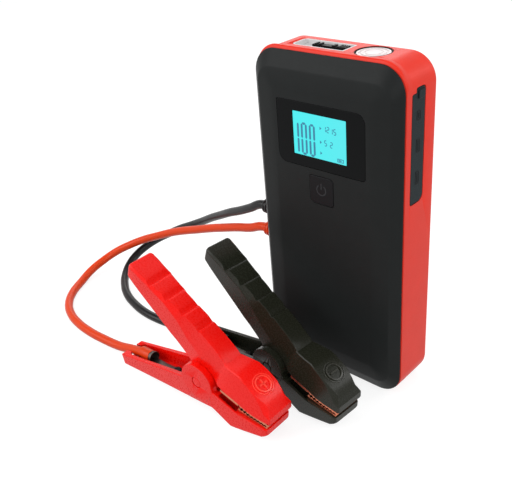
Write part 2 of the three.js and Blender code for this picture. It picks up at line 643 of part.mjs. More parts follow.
function upperLever() {
  const handle = common(
    prismY(polygon(HANDLE_PROFILE), -12, 12), prismZ(polygon(HANDLE_PLAN), 0, 90));
  const jaw = cut(
    common(prismY(polygon(JAW_PROFILE), -12, 12), prismZ(polygon(JAW_PLAN), 0, 60)),
    rod('y', [0, PIVOT], -12, -EAR.inner + GAP, EAR.radius + 0.6, 28),
    rod('y', [0, PIVOT], EAR.inner - GAP, 12, EAR.radius + 0.6, 28));
  const channel = common(
    prismY(polygon([
      [-46, 66], [-43.5, 72], [-1, 48.6], [9, 38], [12, 20], [10, 8], [-14, 8], [-16, 30],
    ]), -12, 12),
    prismZ(polygon([
      [-46, -6.4], [-14, -5.4], [-9, -4.6], [12, -4.6], [12, 4.6], [-9, 4.6], [-14, 5.4], [-46, 6.4],
    ]), 0, 90));
  const grooves = [0, 1, 2, 3].map((i) => {
    const u = -29.6 + i * 10.3;
    const w = 52.8 + 0.576 * -u;
    return rod('y', [u, w + 0.6], -12, 12, 1.3, 10);
  });
  const ring = cut(
    rod('z', [37.5, 0], 20, 40, 4.7, 24), rod('z', [37.5, 0], 19, 41, 3.9, 24));
  const ringTop = common(ring, prismY(polygon([
    [29, 34], [30.5, 36.2], [36, 32.9], [42.3, 28.3], [46, 24.8], [45, 20], [30, 30],
  ]), -8, 8));
  return cut(join(handle, jaw, ringTop), channel, ...grooves,
    rod('y', [0, PIVOT], -12, 12, 2 + GAP, 16));
}

// Under or over side of each copper jaw where it lies in its lever.
const JAW_LINES = {
  lower: [[27.6, 12.55], [46.6, 10.75]],
  upper: [[16.8, 22.2], [28.6, 18.75], [36.1, 15.35], [48, 13.85]],
};
const TEETH_FROM = { lower: 27.6, upper: 28.6 };

function heightOn(line, u) {
  let i = 0;
  while (i < line.length - 2 && u > line[i + 1][0]) i += 1;
  const [[u0, w0], [u1, w1]] = [line[i], line[i + 1]];
  return w0 + (w1 - w0) * (u - u0) / (u1 - u0);
}

// A copper jaw: a strip with a toothed edge along each side, sunk between the two edges.
function copperJaw(which) {
  const line = JAW_LINES[which];
  const sign = which === 'lower' ? 1 : -1;
  const teeth = 6;
  const outline = line.map((point) => [...point]);
  const [from, to] = [TEETH_FROM[which], line[line.length - 1][0]];
  for (let i = 0; i <= 2 * teeth; i += 1) {
    const u = to + (from - to) * i / (2 * teeth);
    const middle = (heightOn(JAW_LINES.lower, u) + heightOn(JAW_LINES.upper, u)) / 2;
    const reach = Math.abs(middle - heightOn(line, u)) - 0.25;
    outline.push([u, heightOn(line, u) + sign * (i % 2 === 0 ? reach * 0.6 : reach)]);
  }
  if (from > line[0][0]) {
    outline.push([from - 0.6, heightOn(line, from - 0.6) + sign * 0.9],
      [line[0][0], line[0][1] + sign * 0.9]);
  }
  const strip = prismY(polygon(sign > 0 ? outline : outline.reverse()), -8.6, 8.6);
  const shift = (point, du, dw) => [point[0] + du, point[1] + sign * dw];
  const sunk = [
    shift(line[0], -1, 0.7), ...line.slice(1, -1).map((p) => shift(p, 0, 0.7)),
    shift(line[line.length - 1], 1, 0.7), shift(line[line.length - 1], 1, 5),
    shift(line[0], -1, 5),
  ];
  return cut(strip, prismY(polygon(sign > 0 ? sunk : sunk.reverse()), -7.2, 7.2));
}

const LUG = { barrelStart: -55, barrelEnd: -45, screw: -27 };

function cableLug() {
  const height = 6.4;
  const barrel = new THREE.CylinderGeometry(3.9, 3.9, LUG.barrelEnd - LUG.barrelStart, 18);
  const bore = new THREE.CylinderGeometry(3.2, 3.2, 12, 18);
  for (const shape of [barrel, bore]) shape.rotateZ(-Math.PI / 2);
  const middle = (LUG.barrelStart + LUG.barrelEnd) / 2;
  barrel.translate(middle, 0, height + 2.2);
  bore.translate(middle, 0, height + 2.2);
  const tongue = prismY(polygon([
    [LUG.barrelEnd - 1, height - 1.6], [LUG.barrelEnd + 6, 5.1], [-24, 6.5], [-24, 7.5],
    [LUG.barrelEnd + 6, 6.1], [LUG.barrelEnd - 1, height - 0.4],
  ]), -3.4, 3.4);
  return cut(join(cut(barrel, bore), tongue), rod('z', [LUG.screw, 0], 0, 20, 1.2 + GAP, 12));
}

function lugScrew() {
  const head = rod('z', [LUG.screw, 0], 7.9, 9.7, 2.5, 14);
  return join(head, rod('z', [LUG.screw, 0], 4, 8, 1.2, 12));
}

// Torsion spring on the pivot: straight leg, close turns, straight leg, as one unbroken tube.
const SPRING = { radius: 4.3, wire: 1.4, turns: 3, pitch: 2, sides: 5, steps: 8 };

function springCentreline() {
  const { radius, turns, pitch, steps } = SPRING;
  const start = -pitch * (turns + 3 / steps) / 2;
  const legAngle = THREE.MathUtils.degToRad(-96);
  const points = [];
  points.push(new THREE.Vector3(-20, start, PIVOT - radius - 7.6));
  points.push(new THREE.Vector3(-10, start, PIVOT - radius - 4.2));
  const count = turns * steps + 3;
  for (let i = 0; i <= count; i += 1) {
    const angle = legAngle + 2 * Math.PI * i / steps;
    points.push(new THREE.Vector3(
      radius * Math.cos(angle), start + pitch * i / steps, PIVOT + radius * Math.sin(angle)));
  }
  const last = points[points.length - 1];
  points.push(new THREE.Vector3(-7, last.y + 0.2, PIVOT + 12));
  points.push(new THREE.Vector3(-17, last.y + 0.2, PIVOT + 24));
  return points;
}

// A tube of few sides through a list of points, closed at both ends.
function wireTube(points, radius, sides) {
  const rings = points.map((point, i) => {
    const before = points[Math.max(i - 1, 0)];
    const after = points[Math.min(i + 1, points.length - 1)];
    const along = after.clone().sub(before).normalize();
    const across = new THREE.Vector3(0, 1, 0).cross(along).normalize();
    const up = along.clone().cross(across);
    const ring = [];
    for (let s = 0; s < sides; s += 1) {
      const angle = 2 * Math.PI * s / sides;
      ring.push(point.clone()
        .addScaledVector(across, radius * Math.cos(angle))
        .addScaledVector(up, radius * Math.sin(angle)));
    }
    return ring;
  });
  return loft(rings);
}

function leastGap(points, wire, skip) {
  const fine = new THREE.CatmullRomCurve3(points).getSpacedPoints(400);
  const step = fine[0].distanceTo(fine[1]);
  let least = Infinity;
  for (let i = 0; i < fine.length; i += 1) {
    for (let j = i + Math.ceil(skip / step); j < fine.length; j += 1) {
      least = Math.min(least, fine[i].distanceTo(fine[j]) - wire);
    }
  }
  return least;
}

function clamp(colour, place, plastic, leadGroup, upperGroup) {
  for (const group of [leadGroup, upperGroup]) {
    group.position.set(place.x, place.y, 0);
    group.rotation.z = THREE.MathUtils.degToRad(place.turn);
  }
  part(`${colour}_clamp_lower_lever`, lowerLever(), plastic, leadGroup);
  part(`${colour}_clamp_upper_lever`, upperLever(), plastic, upperGroup);
  part(`${colour}_clamp_lower_jaw`, copperJaw('lower'), COPPER, leadGroup);
  part(`${colour}_clamp_upper_jaw`, copperJaw('upper'), COPPER, upperGroup);
  const pin = join(
    rod('y', [0, PIVOT], -EAR.outer + 0.4, EAR.outer - 0.4, 2, 16),
    rod('y', [0, PIVOT], -EAR.outer, -EAR.outer + 1.2 - GAP, 3.1, 18),
    rod('y', [0, PIVOT], EAR.outer - 1.2 + GAP, EAR.outer, 3.1, 18));
  part(`${colour}_clamp_pivot_pin`, pin, plastic, leadGroup);
  part(`${colour}_clamp_spring`,
    wireTube(springCentreline(), SPRING.wire / 2, SPRING.sides), STEEL, leadGroup);
  part(`${colour}_clamp_cable_lug`, cableLug(), TIN, leadGroup);
  part(`${colour}_clamp_lug_screw`, lugScrew(), STEEL, leadGroup);
}

// ---------------------------------------------------------------- the whole object
const object = new THREE.Group();
const pack = new THREE.Group();
const button = new THREE.Group();
const slider = new THREE.Group();
const flap = new THREE.Group();
const lead = new THREE.Group();
const redLower = new THREE.Group();
const redUpper = new THREE.Group();
const blackLower = new THREE.Group();
const blackUpper = new THREE.Group();
object.add(pack, button, slider, flap, lead, redLower, redUpper, blackLower, blackUpper);

part('rear_shell', rearShell(), RED_ABS, pack);
part('front_cover', frontCover(), BLACK_ABS, pack);
display(pack);
part('power_button', powerButton(), BLACK_ABS, button);
tactSwitch(pack, button);
mainBoard(pack);
battery(pack);
caseScrews(pack);
torch(pack);
torchSwitch(pack, slider);
sidePorts(pack, flap);
jumpSocket(pack);
jumpPlug(lead);
cable('cable_red', RED_ROUTE, CABLE_RED, lead);
cable('cable_black', BLACK_ROUTE, CABLE_BLACK, lead);
clamp('red', RED_CLAMP, CLAMP_RED, redLower, redUpper);
clamp('black', BLACK_CLAMP, CLAMP_BLACK, blackLower, blackUpper);

console.log('least gap between spring turns (mm):',
  leastGap(springCentreline(), SPRING.wire, 6).toFixed(2));

export default object;
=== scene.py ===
"""Jump starter pack with its plug-in jump lead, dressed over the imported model.

Shapes are modelled in millimetres where they stand, and each piece is brought to metres when
it is done. Every clamp piece is modelled along a clamp's own axes (u towards the jaws, v across,
w up) and then set down at its place.
"""
import math

import bmesh
import bpy
from mathutils import Matrix, Vector


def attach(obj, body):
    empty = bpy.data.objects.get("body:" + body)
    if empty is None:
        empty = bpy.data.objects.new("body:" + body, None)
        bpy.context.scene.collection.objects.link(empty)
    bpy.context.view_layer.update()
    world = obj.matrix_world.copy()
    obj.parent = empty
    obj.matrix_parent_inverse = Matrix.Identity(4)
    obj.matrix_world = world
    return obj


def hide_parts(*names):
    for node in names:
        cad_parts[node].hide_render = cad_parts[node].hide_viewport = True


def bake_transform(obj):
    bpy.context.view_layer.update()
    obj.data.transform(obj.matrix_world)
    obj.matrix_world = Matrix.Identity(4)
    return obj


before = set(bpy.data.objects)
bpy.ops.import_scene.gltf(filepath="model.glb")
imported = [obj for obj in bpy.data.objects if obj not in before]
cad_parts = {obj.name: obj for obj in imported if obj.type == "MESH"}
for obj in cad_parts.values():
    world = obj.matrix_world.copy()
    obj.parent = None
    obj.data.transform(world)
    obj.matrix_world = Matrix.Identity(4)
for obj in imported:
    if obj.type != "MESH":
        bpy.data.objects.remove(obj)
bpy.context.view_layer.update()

MM = 0.001

# ------------------------------------------------------------------ sizes, in millimetres
SIDE = 43.75        # half the case's width
HEIGHT = 180
FACE = -16.5        # the flat front, along y
RIM = -10.6         # where the black front meets the tub
BACK = 16.5
CORNER = 13.3
GAP = 0.3           # clearance between neighbouring pieces
SCREWS = [(-35, 8.7), (-35, 171.3), (35, 8.7), (35, 171.3)]
TORCH = (17, 4)
PORTS = [(125, 13.2, 5.7), (141, 13.2, 5.7), (155.5, 9, 3.4)]     # height, length, width
JACK = (8.4, 71)                                                  # middle of the socket
POLES = {"positive": 63.5, "negative": 78.5}
CABLE = 5.5
PIVOT = 19.5        # height of a clamp's pivot over the floor
EAR = {"inner": 6.8, "outer": 10.4, "radius": 11}       # a clamp's ears, on both sides
LUG_AXIS = (0, 8.6)                                     # the cable's line in a clamp, in (v, w)
LUG_EYE = (-27, 0)                                      # the lug's screw, in (u, v)
# Where each clamp's pivot stands, and how far its jaws turn from +x, in degrees.
CLAMPS = {"red": (-35.6, -74.1, 1.35), "black": (-12.8, -42.0, -3.9)}

# Cable routes, from the plug's boots to the lugs in the clamps.
RED_ROUTE = [
    (-60.2, 8.4, 63.5), (-67, 8.4, 62.8), (-77, 8.5, 58.9), (-88.5, 9, 55.5), (-102, 9.5, 51),
    (-115.5, 9.5, 46.5), (-129, 9.5, 41.5), (-142, 9, 37), (-155, 8, 32), (-168, 5.5, 26.5),
    (-180, 1.5, 21.5), (-190, -4, 16.5), (-197.5, -11, 12), (-201.5, -20, 8),
    (-202, -31.5, 5), (-198, -44, 3), (-191, -56.5, 3), (-181.5, -66.5, 3), (-170, -73, 3),
    (-157, -76.6, 3), (-142.5, -78, 3), (-128.5, -77.6, 3), (-114, -76.6, 3.6),
    (-102, -75.7, 6), (-91.7, -75.4, 8.3),
]
BLACK_ROUTE = [
    (-60.2, 8.4, 78.5), (-66.5, 8.4, 77.8), (-75.5, 9, 72.9), (-86, 10.5, 67.5),
    (-98.5, 13, 61.5), (-110.5, 16, 55), (-122.5, 18.5, 48.5), (-134.5, 20.5, 41.5),
    (-146.5, 21, 35), (-158.5, 19.5, 29), (-169, 16.5, 23), (-178, 12, 17.5),
    (-183.5, 6, 13), (-186, -1.5, 9), (-184, -10.5, 6), (-178, -20, 3.5),
    (-168.5, -28.5, 3), (-157, -35.5, 3), (-144, -40, 3), (-130, -42.5, 3),
    (-116.5, -42.5, 3), (-103, -40.5, 3), (-90.5, -38.2, 3.8), (-79, -37.5, 6),
    (-68.9, -38.2, 8.3),
]


# ------------------------------------------------------------------ modelling by hand
def deselect():
    bpy.ops.object.select_all(action="DESELECT")


def only(piece):
    """Makes a piece the one that is selected and active."""
    deselect()
    piece.select_set(True)
    bpy.context.view_layer.objects.active = piece


def edit(piece):
    """Goes into edit mode with the whole piece selected."""
    only(piece)
    bpy.ops.object.mode_set(mode="EDIT")
    bpy.ops.mesh.select_all(action="SELECT")


def leave_edit():
    bpy.ops.object.mode_set(mode="OBJECT")


def close_up():
    """Turns every face outwards and leaves edit mode."""
    bpy.ops.mesh.select_all(action="SELECT")
    bpy.ops.mesh.normals_make_consistent(inside=False)
    leave_edit()


def pick(piece, kind, test):
    """Goes into edit mode with just those faces or edges selected that pass the test."""
    edit(piece)
    bpy.ops.mesh.select_mode(type=kind)
    bpy.ops.mesh.select_all(action="DESELECT")
    mesh = bmesh.from_edit_mesh(piece.data)
    for element in (mesh.faces if kind == "FACE" else mesh.edges):
        if test(element):
            element.select_set(True)
    mesh.select_flush_mode()
    bmesh.update_edit_mesh(piece.data)


def block(name, low, high):
    """A box primitive from its lowest to its highest corner."""
    deselect()
    middle = [(a + b) / 2 for a, b in zip(low, high)]
    bpy.ops.mesh.primitive_cube_add(size=1, location=middle)
    piece = bpy.context.object
    piece.name = name
    piece.scale = [b - a for a, b in zip(low, high)]
    bpy.ops.object.transform_apply(location=True, rotation=True, scale=True)
    return piece


ACROSS = {"x": (1, 2), "y": (0, 2), "z": (0, 1)}


def plate(name, points, along, place):
    """A flat face through the points, square to one axis."""
    deselect()
    bpy.ops.mesh.primitive_circle_add(vertices=len(points), radius=1, fill_type="NGON")
    piece = bpy.context.object
    piece.name = name
    first, second = ACROSS[along]
    for vertex, (a, b) in zip(piece.data.vertices, points):
        vertex.co[first] = a
        vertex.co[second] = b
        vertex.co["xyz".index(along)] = place
    return piece


def point_on(along, centre, place):
    """The point over (a, b) at a place along an axis."""
    point = Vector((0, 0, 0))
    first, second = ACROSS[along]
    point[first], point[second] = centre
    point["xyz".index(along)] = place
    return point


def push(along, distance):
    """Extrudes what is selected along an axis."""
    step = point_on(along, (0, 0), distance)
    bpy.ops.mesh.extrude_region_move(TRANSFORM_OT_translate={"value": step})


def prism(name, points, along, low, high):
    """A flat face extruded from low to high."""
    piece = plate(name, points, along, low)
    edit(piece)
    push(along, high - low)
    close_up()
    return piece


def circle(radius, centre, sides):
    return [(centre[0] + radius * math.cos(2 * math.pi * i / sides),
             centre[1] + radius * math.sin(2 * math.pi * i / sides)) for i in range(sides)]


def turned(name, profile, along, centre, sides=48):
    """A round piece: a disc extruded and resized through (place, radius) pairs."""
    start, radius = profile[0]
    piece = plate(name, circle(radius, centre, sides), along, start)
    edit(piece)
    for (place, now), (next_place, after) in zip(profile, profile[1:]):
        push(along, next_place - place)
        bpy.ops.transform.resize(
            value=(after / now,) * 3, center_override=point_on(along, centre, next_place))
    close_up()
    return piece


def hoop(name, profile, along, centre, sides=48):
    """A round piece with an open middle: the profile ends where it starts."""
    piece = turned(name, profile, along, centre, sides)
    pick(piece, "FACE", lambda face: len(face.verts) == sides)
    bpy.ops.mesh.delete(type="ONLY_FACE")
    bpy.ops.mesh.select_all(action="SELECT")
    bpy.ops.mesh.remove_doubles(threshold=0.001)
    close_up()
    return piece


def wrapped(name, rings):
    """A grid rolled into a closed skin through rings of points, its ends filled."""
    around = len(rings[0])
    deselect()
    bpy.ops.mesh.primitive_grid_add(x_subdivisions=around, y_subdivisions=len(rings) - 1, size=1)
    piece = bpy.context.object
    piece.name = name
    for j, ring in enumerate(rings):
        for i in range(around + 1):
            piece.data.vertices[j * (around + 1) + i].co = ring[i % around]
    edit(piece)
    bpy.ops.mesh.remove_doubles(threshold=0.0005)
    bpy.ops.mesh.fill_holes(sides=0)
    close_up()
    return piece


def outline(corners, steps=5):
    """A closed outline through (a, b, radius) corners, each rounded by its own radius."""
    points = []
    for i, (a, b, radius) in enumerate(corners):
        here = Vector((a, b))
        if not radius:
            points.append((a, b))
            continue
        back = (Vector(corners[i - 1][:2]) - here).normalized()
        ahead = (Vector(corners[(i + 1) % len(corners)][:2]) - here).normalized()
        half = back.angle(ahead) / 2
        nearest = min((Vector(corners[i - 1][:2]) - here).length,
                      (Vector(corners[(i + 1) % len(corners)][:2]) - here).length)
        reach = min(radius / math.tan(half), 0.46 * nearest)
        centre = here + (back + ahead).normalized() * (reach / math.cos(half))
        start = here + back * reach - centre
        end = here + ahead * reach - centre
        turn = math.atan2(start.x * end.y - start.y * end.x, start.dot(end))
        for step in range(steps + 1):
            angle = turn * step / steps
            points.append((
                centre.x + start.x * math.cos(angle) - start.y * math.sin(angle),
                centre.y + start.x * math.sin(angle) + start.y * math.cos(angle)))
    return points


def case_ring(inset, end_inset, y, steps=12):
    """The case's outline drawn in at its sides and at its ends, as a ring of points."""
    corner = max(CORNER - inset, 2)
    return [Vector((x, y, z)) for x, z in rectangle(
        inset - SIDE, SIDE - inset, end_inset, HEIGHT - end_inset, corner, steps)]


def rectangle(a0, a1, b0, b1, radius, steps=5):
    radii = radius if isinstance(radius, tuple) else (radius,) * 4
    corners = [(a0, b0), (a1, b0), (a1, b1), (a0, b1)]
    return outline([(a, b, r) for (a, b), r in zip(corners, radii)], steps)


def modified(piece, kind, **settings):
    """Adds a modifier, sets it and applies it."""
    only(piece)
    bpy.ops.object.modifier_add(type=kind)
    change = piece.modifiers[-1]
    for setting, value in settings.items():
        setattr(change, setting, value)
    bpy.ops.object.modifier_apply(modifier=change.name)


def combine(piece, tool, how):
    """Joins, cuts or keeps what two closed pieces share; the tool is used up."""
    modified(piece, "BOOLEAN", operation=how, object=tool, solver="EXACT")
    bpy.data.objects.remove(tool, do_unlink=True)


def cut(piece, *tools):
    for tool in tools:
        combine(piece, tool, "DIFFERENCE")


def weld(piece, *others):
    for other in others:
        combine(piece, other, "UNION")


def bevel_edges(piece, test, width, steps):
    pick(piece, "EDGE", test)
    bpy.ops.mesh.bevel(offset=width, segments=steps, affect="EDGES")
    leave_edit()


def soften(piece, width, steps=2, angle=40):
    """A small round on every edge sharper than the angle, less where short edges limit it."""
    modified(piece, "BEVEL", width=width, segments=steps, limit_method="ANGLE",
             angle_limit=math.radians(angle), miter_outer="MITER_ARC")


def smooth(piece, angle=35):
    """Smooth shading that keeps flat faces flat and sharp edges sharp."""
    only(piece)
    bpy.ops.object.shade_smooth_by_angle(angle=math.radians(angle))
    modified(piece, "WEIGHTED_NORMAL", keep_sharp=True)


def copy_of(piece, name):
    """A copy with its own mesh."""
    only(piece)
    bpy.ops.object.duplicate(linked=False)
    twin = bpy.context.object
    twin.name = name
    return twin


def both_sides(near, far):
    """The ranges along v of two like shapes, one on each side of the middle."""
    return (-far, -near), (near, far)


def cross_recess(screw, low, high, axis, turn, place=(0, 0, 0)):
    """Cuts a cross into a screw's head; low and high are the corners of one of its arms."""
    for angle in (turn, turn + 90):
        arm = block("cross", low, high)
        arm.data.transform(Matrix.Translation(place)
                           @ Matrix.Rotation(math.radians(angle), 4, axis))
        cut(screw, arm)


def gather(name, pieces):
    """Joins loose pieces into one object."""
    deselect()
    for piece in pieces:
        piece.select_set(True)
    bpy.context.view_layer.objects.active = pieces[0]
    bpy.ops.object.join()
    pieces[0].name = name
    return pieces[0]


def finished(piece, material, body, slot, *nodes):
    """Brings a piece to metres, gives it its material and fastens it to its body."""
    piece.data.transform(Matrix.Scale(MM, 4))
    piece.data.materials.clear()
    piece.data.materials.append(material)
    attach(piece, body)
    if nodes:
        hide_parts(*nodes)
    return piece


# ------------------------------------------------------------------ materials
def linear(hex_colour):
    """An sRGB hex value as linear colour."""
    values = []
    for i in (1, 3, 5):
        c = int(hex_colour[i:i + 2], 16) / 255
        values.append(c / 12.92 if c <= 0.04045 else ((c + 0.055) / 1.055) ** 2.4)
    return (*values, 1)


def add(tree, kind, settings=None, links=None):
    """Adds a node, sets its properties and sockets, and links sockets that other nodes feed."""
    node = tree.nodes.new(kind)
    for key, value in (settings or {}).items():
        if isinstance(key, int) or key in node.inputs:
            node.inputs[key].default_value = value
        else:
            setattr(node, key, value)
    for key, source in (links or {}).items():
        tree.links.new(source, node.inputs[key])
    return node


def new_material(name):
    material = bpy.data.materials.new(name)
    material.use_nodes = True
    material.node_tree.nodes.clear()
    return material, material.node_tree


def surfaced(name, colour, roughness, grain, depth, shift=0.06, cloud=9.0, shine=0.5, metal=0.0):
    """A moulded or formed surface: cloudy colour, uneven polish and a grain of a real size.

    grain is the grain's width and cloud the width of a cloud of pigment, both in millimetres.
    depth is how deep the grain looks, in millimetres. shine is the specular level.
    """
    material, tree = new_material(name)
    place = add(tree, "ShaderNodeTexCoord").outputs["Object"]
    clouds = add(tree, "ShaderNodeTexNoise", {"Scale": 1 / (cloud * MM), "Detail": 4.0},
                 {"Vector": place})
    grains = add(tree, "ShaderNodeTexNoise", {"Scale": 1 / (grain * MM), "Detail": 2.0},
                 {"Vector": place})
    base = linear(colour)
    deep = tuple(c * (1 - shift) for c in base[:3]) + (1,)
    pale = tuple(min(1, c * (1 + shift)) for c in base[:3]) + (1,)
    blend = add(tree, "ShaderNodeMix", {"data_type": "RGBA"}, {"Factor": clouds.outputs["Fac"]})
    blend.inputs[6].default_value = deep
    blend.inputs[7].default_value = pale
    polish = add(tree, "ShaderNodeMapRange", {
        "From Min": 0.3, "From Max": 0.7,
        "To Min": roughness * 0.88, "To Max": min(1, roughness * 1.12)},
        {"Value": grains.outputs["Fac"]})
    bump = add(tree, "ShaderNodeBump", {"Strength": 0.5, "Distance": depth * MM},
               {"Height": grains.outputs["Fac"]})
    shader = add(tree, "ShaderNodeBsdfPrincipled", {
        "Specular IOR Level": shine, "Metallic": metal}, {
        "Base Color": blend.outputs[2], "Roughness": polish.outputs["Result"],
        "Normal": bump.outputs["Normal"]})
    add(tree, "ShaderNodeOutputMaterial", links={"Surface": shader.outputs["BSDF"]})
    return material


# ABS moulded in a finely spark-eroded tool: even satin colour with a soft highlight.
RED_ABS = surfaced("red_satin_abs", "#DC2E1C", 0.4, 0.7, 0.012, shine=0.18)
# The same tool finish in black: a grey sheen spreads over the sloping band.
BLACK_ABS = surfaced("black_satin_abs", "#1B1D1D", 0.44, 0.7, 0.014, shift=0.12, shine=0.1)
# Black acrylic window, polished: near black with clear reflections.
WINDOW_ACRYLIC = surfaced("black_gloss_acrylic", "#090A0B", 0.1, 4.0, 0.001, shift=0.1, shine=0.07)
# Button cap moulded in black ABS, a little smoother than the case.
BUTTON_ABS = surfaced("black_button_abs", "#121214", 0.36, 0.6, 0.01, shift=0.12, shine=0.1)
BUTTON_MARK = surfaced("grey_mark_ink", "#313234", 0.4, 0.5, 0.004, shine=0.1)
# Silicone rubber port cover: blue-grey black, dull, with a fine dusty grain.
COVER_RUBBER = surfaced("dark_grey_silicone_rubber", "#172023", 0.62, 0.6, 0.02, shift=0.1,
                        shine=0.15)
COVER_MARK = surfaced("black_raised_mark", "#0C0D0E", 0.5, 0.5, 0.01, shine=0.1)
# Switch tray in light grey ABS, and its slider in glossier black.
PALE_ABS = surfaced("light_grey_abs", "#C6C5C5", 0.35, 0.6, 0.006, shift=0.03, shine=0.3)
SLIDER_ABS = surfaced("black_switch_abs", "#0A0A0B", 0.42, 0.6, 0.006, shift=0.12, shine=0.1)
# Clamp levers in bright polypropylene: glossier than the case, saturated on top.
CLAMP_RED = surfaced("bright_red_polypropylene", "#EA0E05", 0.28, 0.9, 0.002, cloud=14.0,
                     shine=0.22)
CLAMP_BLACK = surfaced("black_polypropylene", "#1F2018", 0.27, 0.9, 0.002, shift=0.1,
                       cloud=14.0, shine=0.2)
# Raised marks, glossier than the levers, in a paler colour that is a painted highlight on their
# tops.
MARK_RED_PAINTED_HIGHLIGHT = surfaced("red_polypropylene_painted_highlight", "#FF4234", 0.2, 0.9, 0.004, cloud=14.0, shine=0.3)
MARK_BLACK_PAINTED_HIGHLIGHT = surfaced("black_polypropylene_painted_highlight", "#303029", 0.22, 0.9, 0.004, shine=0.28)
# Soft PVC sleeves: extruded, so smooth, with a waxy sheen.
CABLE_RED = surfaced("orange_red_pvc", "#D43D0C", 0.34, 1.2, 0.01, cloud=20.0, shine=0.22)
CABLE_BLACK = surfaced("black_pvc", "#0B0B0D", 0.34, 1.2, 0.01, shift=0.15, cloud=20.0, shine=0.3)
PLUG_ABS = surfaced("black_plug_abs", "#1B1B1D", 0.42, 0.7, 0.012, shift=0.12, shine=0.2)
# Copper-plated steel: pink-brown metal, softly mirror-like, with dull patches.
COPPER = surfaced("bright_copper_plate", "#C9785A", 0.2, 1.6, 0.01, shift=0.25, cloud=3.0,
                  metal=1.0)
SPRING_STEEL = surfaced("oiled_spring_steel", "#A3A5A6", 0.28, 0.8, 0.006, shift=0.12, cloud=4.0,
                        metal=1.0)
DULL_TIN = surfaced("tarnished_tin_plate", "#6E6A66", 0.45, 1.0, 0.01, shift=0.2, cloud=3.0,
                    metal=1.0)
TIN_PLATE = surfaced("tin_plated_copper", "#D3D4D3", 0.26, 1.0, 0.008, shift=0.1, cloud=3.0,
                     metal=1.0)
SCREW_STEEL = surfaced("black_oxide_steel", "#3A3A3C", 0.35, 0.6, 0.006, shift=0.15, cloud=2.0,
                       metal=1.0)
CONTACT_BRASS = surfaced("turned_brass", "#CDAE62", 0.25, 0.5, 0.006, shift=0.1, cloud=2.0,
                         metal=1.0)
MIRROR_PLATE = surfaced("vacuum_plated_reflector", "#ECEDEE", 0.12, 3.0, 0.004, shift=0.04,
                        metal=1.0)
# Pieces inside the case.
CIRCUIT_LACQUER = surfaced("green_board_lacquer", "#1F6B43", 0.4, 0.8, 0.03, shift=0.3, cloud=2.5)
CELL_LAMINATE = surfaced("pouch_cell_laminate", "#B9BCC0", 0.3, 2.5, 0.05, shift=0.08,
                         metal=0.85)
OPEN_FOAM = surfaced("grey_open_foam", "#4A4C4F", 0.95, 0.7, 0.12, shift=0.2, cloud=2.0)


def lit_display():
    """Backlit liquid crystal sheet: cyan, a little paler towards its right edge."""
    material, tree = new_material("backlit_cyan_display")
    place = add(tree, "ShaderNodeTexCoord").outputs["Object"]
    split = add(tree, "ShaderNodeSeparateXYZ", links={"Vector": place})
    spread = add(tree, "ShaderNodeMapRange", {"From Min": -0.016, "From Max": 0.016},
                 {"Value": split.outputs["X"]})
    haze = add(tree, "ShaderNodeTexNoise", {"Scale": 140.0, "Detail": 2.0}, {"Vector": place})
    uneven = add(tree, "ShaderNodeMath", {"operation": "MULTIPLY_ADD", 1: 0.35},
                 {0: haze.outputs["Fac"], 2: spread.outputs["Result"]})
    tone = add(tree, "ShaderNodeValToRGB", links={"Fac": uneven.outputs["Value"]})
    tone.color_ramp.elements[0].color = linear("#32F6F7")
    tone.color_ramp.elements[0].position = 0.1
    tone.color_ramp.elements[1].color = linear("#4CF0F4")
    shader = add(tree, "ShaderNodeBsdfPrincipled", {
        "Roughness": 0.2, "Emission Strength": 0.86, "Base Color": linear("#0B3A42")},
        {"Emission Color": tone.outputs["Color"]})
    add(tree, "ShaderNodeOutputMaterial", links={"Surface": shader.outputs["BSDF"]})
    return material


def crystal_ink():
    """Darkened crystal segments: blue seen through the cyan backlight."""
    material, tree = new_material("darkened_crystal")
    place = add(tree, "ShaderNodeTexCoord").outputs["Object"]
    haze = add(tree, "ShaderNodeTexNoise", {"Scale": 900.0}, {"Vector": place})
    tone = add(tree, "ShaderNodeValToRGB", links={"Fac": haze.outputs["Fac"]})
    tone.color_ramp.elements[0].color = linear("#1D7FA6")
    tone.color_ramp.elements[1].color = linear("#2B9DC4")
    shader = add(tree, "ShaderNodeBsdfPrincipled", {
        "Roughness": 0.25, "Emission Strength": 0.62, "Base Color": linear("#0A2A3A")},
        {"Emission Color": tone.outputs["Color"]})
    add(tree, "ShaderNodeOutputMaterial", links={"Surface": shader.outputs["BSDF"]})
    return material


def clear_lens():
    """Clear polycarbonate, made mostly opaque: its pale pink body colour paints the bright
    reflector seen through it, with a little real see-through and a soft frosting.
    """
    material, tree = new_material("clear_polycarbonate")
    place = add(tree, "ShaderNodeTexCoord").outputs["Object"]
    frost = add(tree, "ShaderNodeTexNoise", {"Scale": 1500.0}, {"Vector": place})
    bump = add(tree, "ShaderNodeBump", {"Strength": 0.3, "Distance": 0.00001},
               {"Height": frost.outputs["Fac"]})
    shader = add(tree, "ShaderNodeBsdfPrincipled", {
        "Base Color": linear("#DACBCB"), "Roughness": 0.2, "IOR": 1.5,
        "Transmission Weight": 0.3}, {"Normal": bump.outputs["Normal"]})
    add(tree, "ShaderNodeOutputMaterial", links={"Surface": shader.outputs["BSDF"]})
    return material


LIT_DISPLAY = lit_display()
CRYSTAL_INK = crystal_ink()
CLEAR_LENS = clear_lens()


# ------------------------------------------------------------------ camera and cables
CAMERA_TURNS = (44.6, 29.17, 5.095)     # yaw, pitch and roll, in degrees
CAMERA_PLACE = (0.2097, -0.27884, 0.27183)


